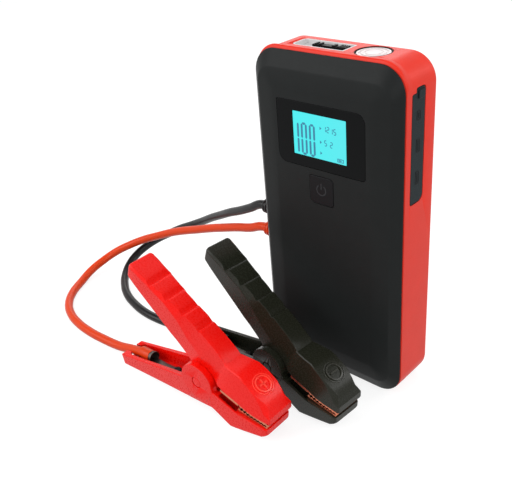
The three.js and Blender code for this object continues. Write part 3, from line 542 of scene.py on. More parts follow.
def place_camera():
    """Stands the camera where the photograph was taken from."""
    yaw, pitch, roll = (math.radians(angle) for angle in CAMERA_TURNS)
    ahead = Vector((-math.sin(yaw) * math.cos(pitch), math.cos(yaw) * math.cos(pitch),
                    -math.sin(pitch)))
    level = Vector((math.cos(yaw), math.sin(yaw), 0))
    down = ahead.cross(level)
    across = math.cos(roll) * level + math.sin(roll) * down
    under = -math.sin(roll) * level + math.cos(roll) * down
    bpy.ops.object.camera_add(location=CAMERA_PLACE)
    camera = bpy.context.object
    camera.rotation_euler = Matrix((across, -under, -ahead)).transposed().to_euler()
    camera.data.sensor_width = 36
    camera.data.lens = 52.24
    bpy.context.scene.camera = camera


def cable(name, node, route, material):
    """A round cable on a smooth curve through the points of its route."""
    line = bpy.data.curves.new(name, "CURVE")
    line.dimensions = "3D"
    spline = line.splines.new("BEZIER")
    spline.bezier_points.add(len(route) - 1)
    for knot, place in zip(spline.bezier_points, route):
        knot.co = Vector(place) * MM
        knot.handle_left_type = knot.handle_right_type = "AUTO"
    spline.resolution_u = 10
    line.bevel_depth = CABLE / 2 * MM
    line.bevel_resolution = 8
    line.use_fill_caps = True
    line.materials.append(material)
    piece = bpy.data.objects.new(name, line)
    bpy.context.scene.collection.objects.link(piece)
    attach(piece, "jump_lead")
    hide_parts(node)
    return piece


place_camera()
red_cable = cable("red_jump_cable", "cable_red", RED_ROUTE, CABLE_RED)
black_cable = cable("black_jump_cable", "cable_black", BLACK_ROUTE, CABLE_BLACK)


# ------------------------------------------------------------------ the plug and its boots
PLUG_OUTSIDE = -52.25
PLUG_INSIDE = -44.05
PLUG_TIP = -30.55


def around_jack(half_width, half_height, radius):
    y, z = JACK
    return rectangle(y - half_width, y + half_width, z - half_height, z + half_height, radius)


def boot_profile():
    """A tapered boot with three grooves: the deep one at its end holds the cable."""
    profile = [(-52.55, 4.9), (-53.9, 4.9), (-54.3, 4.5)]
    for rib in range(3):
        start = -54.6 - 1.9 * rib
        thinner = 0.05 * rib
        profile += [(start, 4.2 - thinner), (start - 0.4, 4.2 - thinner),
                    (start - 0.7, 4.75 - 2 * thinner), (start - 1.6, 4.7 - 2 * thinner)]
    return profile + [(-60.3, 4.05), (-60.7, 4.05), (-61.0, 4.4), (-61.7, 4.35), (-61.95, 4.1),
                      (-61.95, 2.95), (-59.4, 2.9)]


def jump_plug():
    """The lead's plug with its nose, and a boot for each cable."""
    body = prism("plug_housing", around_jack(6.6, 15.6, 3.2), "x", PLUG_OUTSIDE, PLUG_INSIDE)
    bevel_edges(body, lambda e: all(v.co.x < PLUG_OUTSIDE + 0.05 for v in e.verts), 1.6, 4)
    weld(body, prism("nose", around_jack(4.6, 13.6, 1.2), "x", PLUG_INSIDE - 0.95, PLUG_TIP))
    for height in POLES.values():
        cut(body,
            turned("socket", [(-42.7, 2.9), (-29, 2.9)], "x", (JACK[0], height), 32),
            turned("wire_way", [(-53, 1.6), (-41, 1.6)], "x", (JACK[0], height), 24))
    soften(body, 0.3)
    smooth(body)
    finished(body, PLUG_ABS, "jump_lead", "black_plastic", "plug_body")
    boots = {}
    for pole, material, slot in (("negative", CABLE_BLACK, "black_rubber"),
                                 ("positive", CABLE_RED, "red_rubber")):
        boot = turned(pole + "_boot", boot_profile(), "x", (JACK[0], POLES[pole]), 40)
        smooth(boot, 50)
        boots[pole] = finished(boot, material, "jump_lead", slot, "plug_boot_" + pole)
    return body, boots


plug_body, plug_boots = jump_plug()


# ------------------------------------------------------------------ the red tub
SWITCH_MIDDLE = 4       # the torch switch's middle line, along y


def switch_outline(grow):
    """The switch tray in (x, y), its two left corners cut off."""
    left, right, front, back, slant = -27.5, 4.0, SWITCH_MIDDLE - 6, SWITCH_MIDDLE + 6, 2.0
    return [(left + slant, front - grow), (right + grow, front - grow),
            (right + grow, back + grow), (left + slant, back + grow),
            (left - grow, back - slant), (left - grow, front + slant)]


def cover_outline(grow):
    """Port cover in (y, z), rounded low at the back, with a tab high at the back."""
    return outline([
        (-5.5 - grow, 112.2 - grow, 1.3 + grow), (5.3 + grow, 112.2 - grow, 3 + grow),
        (5.3 + grow, 168.2 + grow, 1.9), (-1.9 - grow, 168.2 + grow, 1.5),
        (-1.9 - grow, 166 + grow, 0.4), (-5.5 - grow, 166 + grow, 1.0)], 4)


# The tub's front edge from the flat sides forward: place along y, how far the top rises, and how
# far the outline is drawn in.
RIDGE = [(-4.2, 0, 0), (-5.8, 0.3, 0), (-7.4, 0.95, 0), (-8.5, 1.28, 0), (-9.1, 1.25, 0),
         (-9.65, 0.8, 0), (-9.9, 0.35, 0.04), (-10.08, 0.1, 0.2), (-10.2, 0, 0.6)]
WALL = 1.6
JACK_CUTS = (54, 88)    # heights under and over the lead's opening


def red_tub():
    """The moulding that makes the back, sides, top and bottom, open to the front."""
    tub = block("red_tub", (-SIDE, RIDGE[0][0], 0), (SIDE, BACK, HEIGHT))
    bevel_edges(tub, lambda e: abs(e.verts[0].co.y - e.verts[1].co.y) > 1, CORNER, 20)
    bevel_edges(tub, lambda e: all(v.co.y > BACK - 0.01 for v in e.verts), 3, 6)
    pick(tub, "FACE", lambda f: f.normal.y < -0.9)
    for (last, was_up, was_in), (now, up, drawn) in zip(RIDGE, RIDGE[1:]):
        push("y", now - last)
        bpy.ops.transform.resize(value=(1, 1, (HEIGHT + up) / (HEIGHT + was_up)),
                                 center_override=(0, now, 0))
        bpy.ops.transform.resize(
            value=((SIDE - drawn) / (SIDE - was_in), 1,
                   (HEIGHT / 2 - drawn) / (HEIGHT / 2 - was_in)),
            center_override=(0, now, HEIGHT / 2))
    bpy.ops.mesh.inset(thickness=WALL)
    push("y", BACK - WALL - RIDGE[-1][0])
    leave_edit()
    weld(tub, block("port_wall", (39.4, -8, 109.2), (42.2, 8, 170.2)))
    for x, z in SCREWS:
        weld(tub, turned("screw_seat", [(11.5, 4.3), (15, 4.3)], "y", (x, z), 24))
    cut(tub, prism("cover_pocket", cover_outline(GAP), "x", SIDE - 1.9, SIDE + 1))
    for z, tall, wide in PORTS:
        cut(tub, block("port_hole", (38, -wide / 2 - GAP, z - tall / 2 - GAP),
                       (43, wide / 2 + GAP, z + tall / 2 + GAP)))
    cut(tub,
        turned("lens_hole", [(170, 9.1), (182, 9.1)], "z", TORCH, 64),
        prism("switch_hole", switch_outline(GAP / 2), "z", 176, 182),
        prism("jack_hole", around_jack(5.9, 14.9, 2.3), "x", -45, -40))
    for x, z in SCREWS:
        cut(tub, turned("counterbore", [(13.9, 3.1), (18, 3.1)], "y", (x, z), 32),
            turned("throat", [(10, 1.6), (15, 1.6)], "y", (x, z), 20))
    soften(tub, 0.2, angle=50)
    # Level cuts above and below the lead's opening keep its rounded rim out of the long flat
    # side, which would otherwise be shaded in one slant from the rim to the far corner.
    edit(tub)
    for z in JACK_CUTS:
        bpy.ops.mesh.select_all(action="SELECT")
        bpy.ops.mesh.bisect(plane_co=(0, 0, z), plane_no=(0, 0, 1))
    leave_edit()
    smooth(tub, 21)
    finished(tub, RED_ABS, "pack", "red_plastic", "rear_shell")


# ------------------------------------------------------------------ the black front
# Outer skin from the flange inside the tub to the flat face: how far the outline is drawn in at
# the sides and at the ends, and where along y. A steep band, a crisp fold, then a gentle slope.
FRONT_SKIN = [
    (2.3, 2.3, -9.1), (2.3, 2.3, -10.7), (0.15, 0.15, -10.75), (0.26, 0.3, -11.1),
    (0.6, 0.8, -11.4), (1.5, 2.4, -12.2), (2.8, 4.65, -13.37), (4.05, 6.9, -14.48),
    (4.5, 7.7, -14.88), (4.95, 8.35, -15.08), (5.6, 9.0, -15.2), (7.5, 10.5, -15.5),
    (9.5, 12.2, -15.8), (11.5, 14, -16.08), (13, 15.5, -16.27), (14.6, 16.8, -16.42),
    (16, 18, -16.5)]
FRONT_UNDER = [
    (3.5, 3.5, -7.6), (3.5, 3.5, -10.9), (3.6, 4.9, -11.5), (6.2, 9.4, -13.3),
    (10.5, 13, -14.05), (16, 16.3, -14.5)]


def window_outline(grow, steps=6):
    """The window in (x, z): round at two opposite corners and nearly sharp at the others."""
    return rectangle(-26.25 - grow, 26.25 + grow, 124.5 - grow, 157.5 + grow,
                     (5 + grow, 1.8 + grow, 5 + grow, 1.2), steps)


def button_outline(grow):
    return rectangle(-7.2 - grow, 7.2 + grow, 105.9 - grow, 121 + grow,
                     (3 + grow, 1.5 + grow, 2.2 + grow, 1 + grow), 6)


def black_front():
    """The front moulding with its sloping band, its screw posts and its three openings."""
    front = wrapped("black_front", [case_ring(*ring) for ring in FRONT_SKIN])
    cut(front, wrapped("under", [case_ring(*ring) for ring in FRONT_UNDER]))
    for x, z in SCREWS:
        weld(front, turned("post", [(FACE + 3.3, 2.6), (11.2, 2.6)], "y", (x, z), 24))
        cut(front, turned("post_bore", [(1.5, 1.55), (12, 1.55)], "y", (x, z), 16))
    cut(front,
        prism("window_seat", window_outline(GAP / 2), "y", FACE - 1, FACE + 1.6),
        prism("screen_hole", rectangle(-17, 17, 129, 153, 1), "y", FACE - 1, RIM),
        prism("button_hole", button_outline(0.22), "y", FACE - 1, -10))
    soften(front, 0.15, angle=60)
    smooth(front, 24)
    finished(front, BLACK_ABS, "pack", "black_plastic", "front_cover")


# ------------------------------------------------------------------ display
# Which of the seven bars are on for a digit: top, upper left, upper right, middle, lower left,
# lower right, bottom.
DIGITS = {"0": "1110111", "1": "0010010", "2": "1011101", "3": "1011011", "4": "0111010",
          "5": "1101011", "8": "1111111"}
INK = (FACE + 0.07, FACE + 0.2)         # how far the dark segments reach along y
DIGIT_FOOT = 131.3
SCREEN = (-16.4, 15.5, 130.3, 152.5)


def bar(low, high, thick):
    """One flat display bar with pointed ends, upright or level."""
    (x0, z0), (x1, z1) = low, high
    half = thick / 2
    if x0 == x1:
        points = [(x0, z0), (x0 + half, z0 + half), (x0 + half, z1 - half), (x0, z1),
                  (x0 - half, z1 - half), (x0 - half, z0 + half)]
    else:
        points = [(x0, z0), (x0 + half, z0 - half), (x1 - half, z0 - half), (x1, z0),
                  (x1 - half, z0 + half), (x0 + half, z0 + half)]
    return prism("bar", points, "y", *INK)


def digit(character, x, z, wide, tall, thick):
    """The bars that are on for one digit with its lower left corner at (x, z)."""
    middle = z + tall / 2
    gap = thick * 0.12
    runs = [((x, z + tall), (x + wide, z + tall)), ((x, middle), (x, z + tall)),
            ((x + wide, middle), (x + wide, z + tall)), ((x, middle), (x + wide, middle)),
            ((x, z), (x, middle)), ((x + wide, z), (x + wide, middle)), ((x, z), (x + wide, z))]
    bars = []
    for on, ((x0, z0), (x1, z1)) in zip(DIGITS[character], runs):
        if on == "1" and x0 == x1:
            bars.append(bar((x0, z0 + gap), (x1, z1 - gap), thick))
        elif on == "1":
            bars.append(bar((x0 + gap, z0), (x1 - gap, z1), thick))
    return bars


def display():
    """The gloss window, the lit screen behind its opening, and the figures on it."""
    window = prism("gloss_window", window_outline(0, 8), "y", FACE, FACE + 1.5)
    cut(window, prism("screen_hole", rectangle(*SCREEN, 0.3, 2), "y", FACE - 1, FACE + 2))
    soften(window, 0.22, 3)
    smooth(window)
    finished(window, WINDOW_ACRYLIC, "pack", "window", "display_window")

    x0, x1, z0, z1 = SCREEN
    screen = prism("lit_screen", rectangle(x0 + 0.1, x1 - 0.1, z0 + 0.1, z1 - 0.1, 0.25, 2),
                   "y", FACE + 0.12, FACE + 1.4)
    soften(screen, 0.1)
    smooth(screen)
    finished(screen, LIT_DISPLAY, "pack", "lit_display")

    bars = []
    for character, x, wide in (("1", -15.7, 2.4), ("0", -10.9, 2.6), ("0", -5.9, 2.5)):
        bars += digit(character, x, DIGIT_FOOT, wide, 15.6, 1.15)
    for characters, x, z in (("12", 2.4, 145.0), ("15", 6.4, 144.6), ("5", 2.8, 138.0),
                             ("2", 6.2, 137.7)):
        for i, character in enumerate(characters):
            bars += digit(character, x + i * 2.0, z, 1.25, 2.7, 0.42)
    arrow = [(0.2, 0), (1.3, 0.85), (0.2, 1.7)]
    for x, z in ((-0.1, 145.5), (-0.1, 138.5), (-0.1, 132.9)):
        bars.append(prism("arrow", [(x + a, z + b) for a, b in arrow], "y", *INK))
    cell = prism("cell", rectangle(10.2, 13.9, 131.2, 133.1, 0.2, 2), "y", *INK)
    cut(cell, prism("hole", rectangle(10.6, 13.5, 131.55, 132.75, 0.1, 2), "y", -17, -16))
    bars += [cell, prism("level", rectangle(10.9, 12.6, 131.8, 132.5, 0.1, 2), "y", *INK)]
    marks = gather("screen_marks", bars)
    smooth(marks)
    finished(marks, CRYSTAL_INK, "pack", "lit_display")


# ------------------------------------------------------------------ power button
def arc_band(inner, outer, start, end, centre, steps=20):
    """An open ring between two radii, from one angle to another."""
    angles = [math.radians(start + (end - start) * i / steps) for i in range(steps + 1)]
    return ([(centre[0] + outer * math.cos(a), centre[1] + outer * math.sin(a)) for a in angles]
            + [(centre[0] + inner * math.cos(a), centre[1] + inner * math.sin(a))
               for a in reversed(angles)])


MARK_HEIGHT = 113.9                     # middle of the button's mark
MARK_RISE = (FACE - 0.31, FACE - 0.15)


def power_button():
    """The button's cap with a flange behind the front, and its raised mark."""
    cap = prism("button_cap", button_outline(0), "y", FACE - 0.25, -13.7)
    weld(cap, prism("flange", button_outline(1.1), "y", -14.2, -13.2))
    bevel_edges(cap, lambda e: all(v.co.y < FACE - 0.2 for v in e.verts), 0.45, 4)
    smooth(cap)
    finished(cap, BUTTON_ABS, "button", "black_plastic", "power_button")
    ring = prism("ring", arc_band(2.45, 3.05, 125, 415, (0, MARK_HEIGHT)), "y", *MARK_RISE)
    stroke = prism("stroke", rectangle(-0.3, 0.3, MARK_HEIGHT + 0.3, MARK_HEIGHT + 3.7, 0.25, 3),
                   "y", *MARK_RISE)
    mark = gather("button_mark", [ring, stroke])
    smooth(mark)
    finished(mark, BUTTON_MARK, "button", "black_plastic")


# ------------------------------------------------------------------ side port cover
def side_cover():
    """The rubber flap with its finger grip, a stopper in each port and a mark over each."""
    cover = prism("port_flap", cover_outline(0), "x", SIDE - 1.6, SIDE)
    bevel_edges(cover, lambda e: all(v.co.x > SIDE - 0.01 for v in e.verts), 0.35, 3)
    grip = prism("grip", rectangle(-1.0, 4.4, 163.2, 167.3, 0.9), "x", SIDE - 1, SIDE + 0.7)
    bevel_edges(grip, lambda e: all(v.co.x > SIDE + 0.6 for v in e.verts), 0.4, 3)
    weld(cover, grip)
    for z, tall, wide in PORTS:
        half_wide, half_tall = wide / 2 - GAP, tall / 2 - GAP
        weld(cover, prism("stopper", rectangle(-half_wide, half_wide, z - half_tall,
                                               z + half_tall, 0.5, 3),
                          "x", SIDE - 2.8, SIDE - 1))
    smooth(cover)
    finished(cover, COVER_RUBBER, "cover", "grey_rubber", "side_port_cover")
    marks = []
    raised = (SIDE - 0.2, SIDE + 0.12)
    for z, tall, wide in PORTS:
        low, high = z - tall / 4, z + tall / 4
        border = prism("mark", rectangle(-1.5, 1.5, low, high, 0.5, 3), "x", *raised)
        cut(border, prism("hole", rectangle(-1.1, 1.1, low + 0.4, high - 0.4, 0.3, 3),
                          "x", SIDE - 1, SIDE + 1))
        tongue = prism("mark", rectangle(-0.25, 0.35, low + 1, high - 1, 0.1, 2), "x", *raised)
        marks += [border, tongue]
    embossed = gather("port_flap_marks", marks)
    smooth(embossed)
    finished(embossed, COVER_MARK, "cover", "grey_rubber")


# ------------------------------------------------------------------ torch
def torch():
    """A stepped lens in a thin black ring, over a bright cup."""
    top = HEIGHT - 0.35
    lens = turned("lens_cap", [
        (top - 1.8, 8.2), (top - 0.15, 8.2), (top, 8.0), (top, 7.0), (top - 0.25, 6.8),
        (top - 0.25, 6.2), (top - 0.02, 6.0), (top - 0.02, 4.6), (top - 0.2, 4.45),
        (top - 0.2, 4.0), (top - 0.03, 3.85), (top, 0.5)], "z", TORCH, 64)
    smooth(lens, 30)
    finished(lens, CLEAR_LENS, "pack", "clear_lens", "torch_lens")
    ring = hoop("lens_ring", [
        (HEIGHT - 2.6, 8.45), (HEIGHT - 2.6, 8.85), (HEIGHT - 0.25, 8.85), (HEIGHT - 0.05, 8.78),
        (HEIGHT, 8.65), (HEIGHT - 0.05, 8.52), (HEIGHT - 0.2, 8.45), (HEIGHT - 2.6, 8.45)],
        "z", TORCH, 64)
    smooth(ring, 40)
    finished(ring, SLIDER_ABS, "pack", "black_plastic", "torch_bezel")
    low = top - 1.8 - GAP
    cup = hoop("mirror_cup", [
        (low - 7, 2.65), (low - 8, 2.65), (low - 8, 3.7), (low - 5, 5.8), (low - 2, 7.3),
        (low, 8.0), (low, 7.4), (low - 1, 7.0), (low - 2.6, 6.3), (low - 4.4, 5.2),
        (low - 6, 3.9), (low - 7, 2.65)], "z", TORCH, 48)
    smooth(cup, 40)
    finished(cup, MIRROR_PLATE, "pack", "bright_metal", "torch_reflector")


def torch_switch():
    """A pale tray let into the top, and the black slider in it."""
    floor = HEIGHT - 2.4

    def along_tray(name, x0, x1, half_wide, z0, z1):
        return block(name, (x0, SWITCH_MIDDLE - half_wide, z0), (x1, SWITCH_MIDDLE + half_wide, z1))

    tray = prism("switch_tray", switch_outline(0), "z", floor - 1, HEIGHT)
    cut(tray, prism("well", switch_outline(-1), "z", floor, HEIGHT + 1),
        along_tray("slot", -10.3, 0.3, 1.3, floor - 3, floor + 3))
    soften(tray, 0.25, 3)
    smooth(tray)
    finished(tray, PALE_ABS, "pack", "pale_plastic", "torch_switch_bezel")

    slider = along_tray("switch_slider", -17.6, 2.6, 1.6, floor + GAP, HEIGHT - 0.1)
    weld(slider,
         along_tray("thumb", -2.2, 2.6, 2.1, floor + GAP, HEIGHT + 0.4),
         along_tray("peg", -3, 0, 1, floor - 3.3, floor + 1))
    for low, high in ((-16, -14.8), (-13.6, -12.4), (-5.8, -4.2)):
        weld(slider, along_tray("rib", low, high, 1.6, floor + 1, HEIGHT + 0.5))
    for x in (-0.9, 0.3, 1.5):
        cut(slider, along_tray("groove", x - 0.3, x + 0.3, 4, HEIGHT + 0.15, HEIGHT + 2))
    soften(slider, 0.25, 3)
    smooth(slider)
    finished(slider, SLIDER_ABS, "torch_slider", "black_plastic", "torch_switch_slider")


# ------------------------------------------------------------------ case screws
def case_screws():
    """Four pan-head screws, sunk in the back."""
    original = turned("rear_screw", [
        (3.5, 0.5), (4.5, 1.2), (13.95, 1.2), (14.2, 2.5), (14.5, 2.7), (15.2, 2.7),
        (15.7, 2.3), (16.0, 1.2)], "y", (0, 0), 32)
    cross_recess(original, (-1.6, 14.9, -0.3), (1.6, 17, 0.3), "Y", 20)
    smooth(original, 30)
    for number, (x, z) in enumerate(SCREWS, 1):
        screw = copy_of(original, f"rear_screw_{number}")
        screw.data.transform(Matrix.Translation((x, 0, z)))
        finished(screw, SCREW_STEEL, "pack", "steel", f"case_screw_{number}")
    bpy.data.objects.remove(original, do_unlink=True)


# ------------------------------------------------------------------ clamps
def lever_ring(top, bottom, top_half, shoulder_half, drop, bottom_half, rounds=(0.7, 0.8, 0.35)):
    """A section through a lever, in the plane of its top and bottom points.

    A flat top, chamfers down to the shoulders, then sides down to a wider or narrower foot.
    """
    (tu, tw), (bu, bw) = top, bottom
    tall = math.hypot(tu - bu, tw - bw)
    foot, shoulder, crown = rounds
    corners = [(-bottom_half, 0, foot), (bottom_half, 0, foot),
               (shoulder_half, tall - drop, shoulder), (top_half, tall, crown),
               (-top_half, tall, crown), (-shoulder_half, tall - drop, shoulder)]
    ring = []
    for v, rise in outline(corners, 4):
        share = rise / tall
        ring.append(Vector((bu + (tu - bu) * share, v, bw + (tw - bw) * share)))
    return ring


def shrunk(ring, amount, shift):
    """A ring drawn in towards its middle and pushed along, for a rounded end."""
    middle = sum(ring, Vector()) / len(ring)
    reach = max((point - middle).length for point in ring)
    factor = 1 - amount / reach
    return [middle + (point - middle) * factor + Vector(shift) for point in ring]


def along_line(points, u):
    """The second number of each pair, read off at u between the pairs."""
    i = 0
    while i < len(points) - 2 and u > points[i + 1][0]:
        i += 1
    (u0, w0), (u1, w1) = points[i], points[i + 1]
    return w0 + (w1 - w0) * (u - u0) / (u1 - u0)


# The handle, along the clamp: heights of its top line and its underside, half widths of its flat,
# shoulder and foot, and how far its chamfer drops.
HANDLE_END = -43.8
HANDLE_TOP = [(-43.5, 77.4), (0, 52.8), (12, 44.2), (20.5, 36.6)]
HANDLE_UNDER = [(-48, 71.5), (-9.8, 32.4)]
HANDLE_FLAT = [(-43.8, 7.9), (-30, 7.1), (-18, 5.8), (-10, 5.6), (0, 5.5), (12, 5.6), (20, 5.9)]
HANDLE_SHOULDER = [(-43.8, 8.9), (-30, 8.4), (-18, 7.9), (-10, 7.5), (0, 6.9), (12, 6.7),
                   (20, 6.5)]
HANDLE_DROP = [(-43.8, 1.0), (-30, 1.6), (-18, 2.6), (-10, 5.5), (0, 12), (12, 14), (20, 13)]
HANDLE_FOOT = [(-50, 8.9), (-36, 8.4), (-23, 7.6), (-15, 7.2), (-9, 6.45), (30, 6.4)]
GROOVES = [-29.6, -19.3, -9.0, 1.3]
# A finger groove: a long slope down and a steep step up again.
GROOVE_DIPS = {-2.8: 0.1, -1.8: 0.45, -0.9: 1.0, -0.1: 1.35, 0.4: 1.25, 0.9: 0.75, 1.4: 0.3,
               1.9: 0.08, 2.5: 0}
# The rounded end: how far in from the end, how much narrower, and how much lower.
HANDLE_TIP = [(0, 2.0, 0.9), (0.3, 1.15, 0.5), (0.8, 0.55, 0.22), (1.6, 0.15, 0.05)]
# Where along the clamp the underside lies, of the section at the handle's end and at the pivot.
UNDER_PLACES = (-46.6, -9.8)


def handle_ring(u, dip=0, narrow=0, low=0):
    """A section of the handle, dipped in a groove, or narrower and lower at the rounded end."""
    share = (u - HANDLE_END) / -HANDLE_END
    under_u = UNDER_PLACES[0] + share * (UNDER_PLACES[1] - UNDER_PLACES[0])
    flat, shoulder, drop = (along_line(line, u) for line in (
        HANDLE_FLAT, HANDLE_SHOULDER, HANDLE_DROP))
    top = (u, along_line(HANDLE_TOP, u) - dip - low)
    bottom = (under_u, along_line(HANDLE_UNDER, under_u) + low / 2)
    wider = dip * (shoulder - flat) / drop
    return lever_ring(top, bottom, flat + wider - narrow, shoulder - narrow,
                      max(drop - dip, 0.25), along_line(HANDLE_FOOT, (u + under_u) / 2) - narrow)


# Sections of the hub between the ears: top and bottom points, half widths of the flat and the
# shoulder, and how far the chamfer drops.
HUB_SECTIONS = [
    ((12, 44.2), (-7.5, 28.5), 5.6, 6.7, 14), ((15, 41.5), (-8.4, 22), 5.7, 6.6, 14),
    ((18, 38.8), (-8.2, 17), 5.8, 6.5, 14), ((19.6, 36.6), (-5, 12.6), 5.8, 6.5, 12),
    ((18.6, 30), (0.5, 12.2), 5.8, 6.5, 8), ((16.6, 24.5), (6, 12.6), 5.8, 6.5, 5)]
HUB_FOOT = 6.4


def handle():
    """The ridged handle of an upper lever, down to the hub between the ears."""
    stations = [(HANDLE_END + back, 0, narrow, low) for back, narrow, low in HANDLE_TIP]
    stations += [(-38, 0, 0, 0), (-34.5, 0, 0, 0)]
    for groove in GROOVES:
        stations += [(groove + step, dip, 0, 0) for step, dip in GROOVE_DIPS.items()]
    stations += [(5.5, 0, 0, 0), (9, 0, 0, 0)]
    rings = [handle_ring(*station) for station in stations]
    rings += [lever_ring(*section, HUB_FOOT) for section in HUB_SECTIONS]
    return wrapped("handle", rings)


# Sections of the jaw housing: the top and bottom points, the half widths of the flat and of the
# shoulder, how far the chamfer drops, and the half width of the foot. The last four are the nose,
# a slanted facet between the sixth and the fourth from the end.
JAW_SECTIONS = [
    ((16.5, 38.3), (9.5, 26.3), 5.0, 5.2, 0.6, 6.0),
    ((19.2, 36.9), (11.6, 24.7), 5.9, 6.2, 0.6, 7.4),
    ((21.5, 36.6), (13.8, 23.5), 6.3, 6.7, 0.6, 8.8),
    ((25.5, 36.1), (17.5, 22.3), 6.9, 7.3, 0.6, 9.7),
    ((30.5, 35.6), (22, 21.1), 7.4, 7.8, 0.6, 10),
    ((33.5, 33.9), (26, 20), 7.7, 8.1, 0.6, 10),
    ((37, 31.7), (30, 18.5), 7.9, 8.3, 0.6, 10),
    ((41, 28.8), (34.2, 16.6), 7.9, 8.5, 0.8, 9.9),
    ((44.2, 26.1), (39.5, 15.35), 7.1, 8.6, 2.2, 9.7),
    ((46.9, 23.4), (44.3, 14.7), 6.1, 8.75, 4.0, 9.4),
    ((48.2, 20.4), (47.4, 14.4), 7.6, 8.85, 1.9, 9.1),
    ((49.1, 18.3), (48.9, 14.2), 8.6, 8.8, 0.5, 8.8),
]


def jaw_housing():
    """The closed skin over the jaws, with the nose rounded off at its end."""
    rings = [lever_ring(*section) for section in JAW_SECTIONS]
    rings.append(shrunk(rings[-1], 1.0, (0.3, 0, 0.05)))
    return wrapped("jaw_housing", rings)


def round_pivot(name, v0, v1, radius, sides=64):
    """A disc round the pivot's axis, from v0 to v1."""
    return turned(name, [(v0, radius), (v1, radius)], "y", (0, PIVOT), sides)


def pin_hole():
    return round_pivot("pin_hole", -12, 12, 2.3, 32)


def upper_lever():
    """Handle and jaw housing in one, hollow inside, with room for the lower lever's ears."""
    lever = handle()
    housing = jaw_housing()
    for v0, v1 in both_sides(EAR["inner"] - GAP, 12):
        cut(housing, round_pivot("ear_way", v0, v1, EAR["radius"] + 0.6))
    weld(lever, housing)
    channel = prism("channel", [
        (-46, 66), (-44, 71), (-41.5, 72.4), (-1, 48.6), (9, 38), (12, 20), (10, 8), (-14, 8),
        (-16, 30)], "y", -6.2, 6.2)
    plan = prism("plan", [
        (-47, -6.2), (-14, -5.4), (-9, -4.6), (13, -4.6), (13, 4.6), (-9, 4.6), (-14, 5.4),
        (-47, 6.2)], "z", 0, 90)
    combine(channel, plan, "INTERSECT")
    cut(lever, channel, pin_hole())
    soften(lever, 0.25, angle=50)
    smooth(lever, 24)
    return lever


LOWER_TOP = [(-67, 7.3), (-8.4, 18.4), (12.6, 17.6), (27.2, 12.3), (47.3, 10.4)]
LOWER_UNDER = [(-65.5, 0.02), (9.5, 6.3), (22.2, 0.02), (44, 4.2), (46.8, 6.4)]
# Place along the lever of each section: on top, underneath, and its half width.
LOWER_SECTIONS = [
    (-66.8, -65.4, 8.0), (-60, -60, 8.15), (-50, -50, 8.4), (-40, -40, 8.7), (-30, -30, 9.0),
    (-20, -20, 9.35), (-11, -10, 9.75), (-8.4, -4, 10.0), (0, 2, 10.2), (7, 6.5, 10.3),
    (11, 9, 10.3), (13.2, 11, 10.3), (16.5, 15, 10.3), (20, 19, 10.3), (23.5, 22, 10.25),
    (27.2, 25.4, 10.2), (33, 31.5, 10.15), (39, 38, 10.0), (43.6, 43.2, 9.8),
    (46.2, 45.4, 9.4), (47.0, 46.6, 8.8),
]


def lower_lever():
    """The trough that takes the cable, its two ears round the pivot, and the lower jaw."""
    rings = []
    for top_u, under_u, half in LOWER_SECTIONS:
        top = (top_u, along_line(LOWER_TOP, top_u))
        bottom = (under_u, along_line(LOWER_UNDER, under_u))
        tall = math.dist(top, bottom)
        rings.append(lever_ring(top, bottom, half - 0.25, half, min(0.4, tall / 4), half - 0.1,
                                (min(1.3, tall / 3), 0.3, 0.3)))
    rings.append(shrunk(rings[-1], 0.9, (0.25, 0, 0.05)))
    lever = wrapped("lower_lever", rings)
    for ear_range, cheek_range in zip(both_sides(EAR["inner"], EAR["outer"]),
                                      both_sides(EAR["inner"], EAR["outer"] - 0.25)):
        ear = round_pivot("ear", *ear_range, EAR["radius"])
        bevel_edges(ear, lambda e: all(abs(v.co.y) > EAR["outer"] - 0.01 for v in e.verts), 0.3, 2)
        cheek = prism("cheek", [(-8, 8), (9, 8), (12.2, 15.6), (11, 20), (-8.5, 20)], "y",
                      *cheek_range)
        weld(lever, ear, cheek)
    trough = prism("trough", [
        (-70, 2.2), (-40, 4.4), (7.5, 8.6), (13, 12), (13.5, 32), (-70, 32)], "y", -10, 10)
    plan = prism("plan", [
        (-70, -3.6), (-63, -3.6), (-61, -5.9), (-10, -6.8), (13.5, -6.8), (13.5, 6.8),
        (-10, 6.8), (-61, 5.9), (-63, 3.6), (-70, 3.6)], "z", 0, 40)
    combine(trough, plan, "INTERSECT")
    pocket = prism("pocket", [(14.7, 9.2), (26.6, 6.4), (26.6, 20), (14.7, 24)], "y", -9.1, 9.1)
    cut(lever, trough, pocket, pin_hole(),
        turned("screw_hole", [(-1, 1.5), (12, 1.5)], "z", LUG_EYE, 20))
    for v0, v1 in both_sides(9.2, 12):
        cut(lever, round_pivot("rivet_seat", v0, v1, 3.3, 40))
    soften(lever, 0.3, angle=46)
    smooth(lever, 38)
    return lever


# The line that each copper strip lies along, and where its teeth start.
JAW_LINES = {
    "lower": [(27.6, 12.55), (46.6, 10.75)],
    "upper": [(16.8, 22.2), (28.6, 18.75), (36.1, 15.35), (48, 13.85)],
}
TEETH_FROM = {"lower": 27.6, "upper": 28.6}
TEETH = 9
STRIP = {"thick": 0.7, "half_width": 8.6, "half_inside": 7.2}


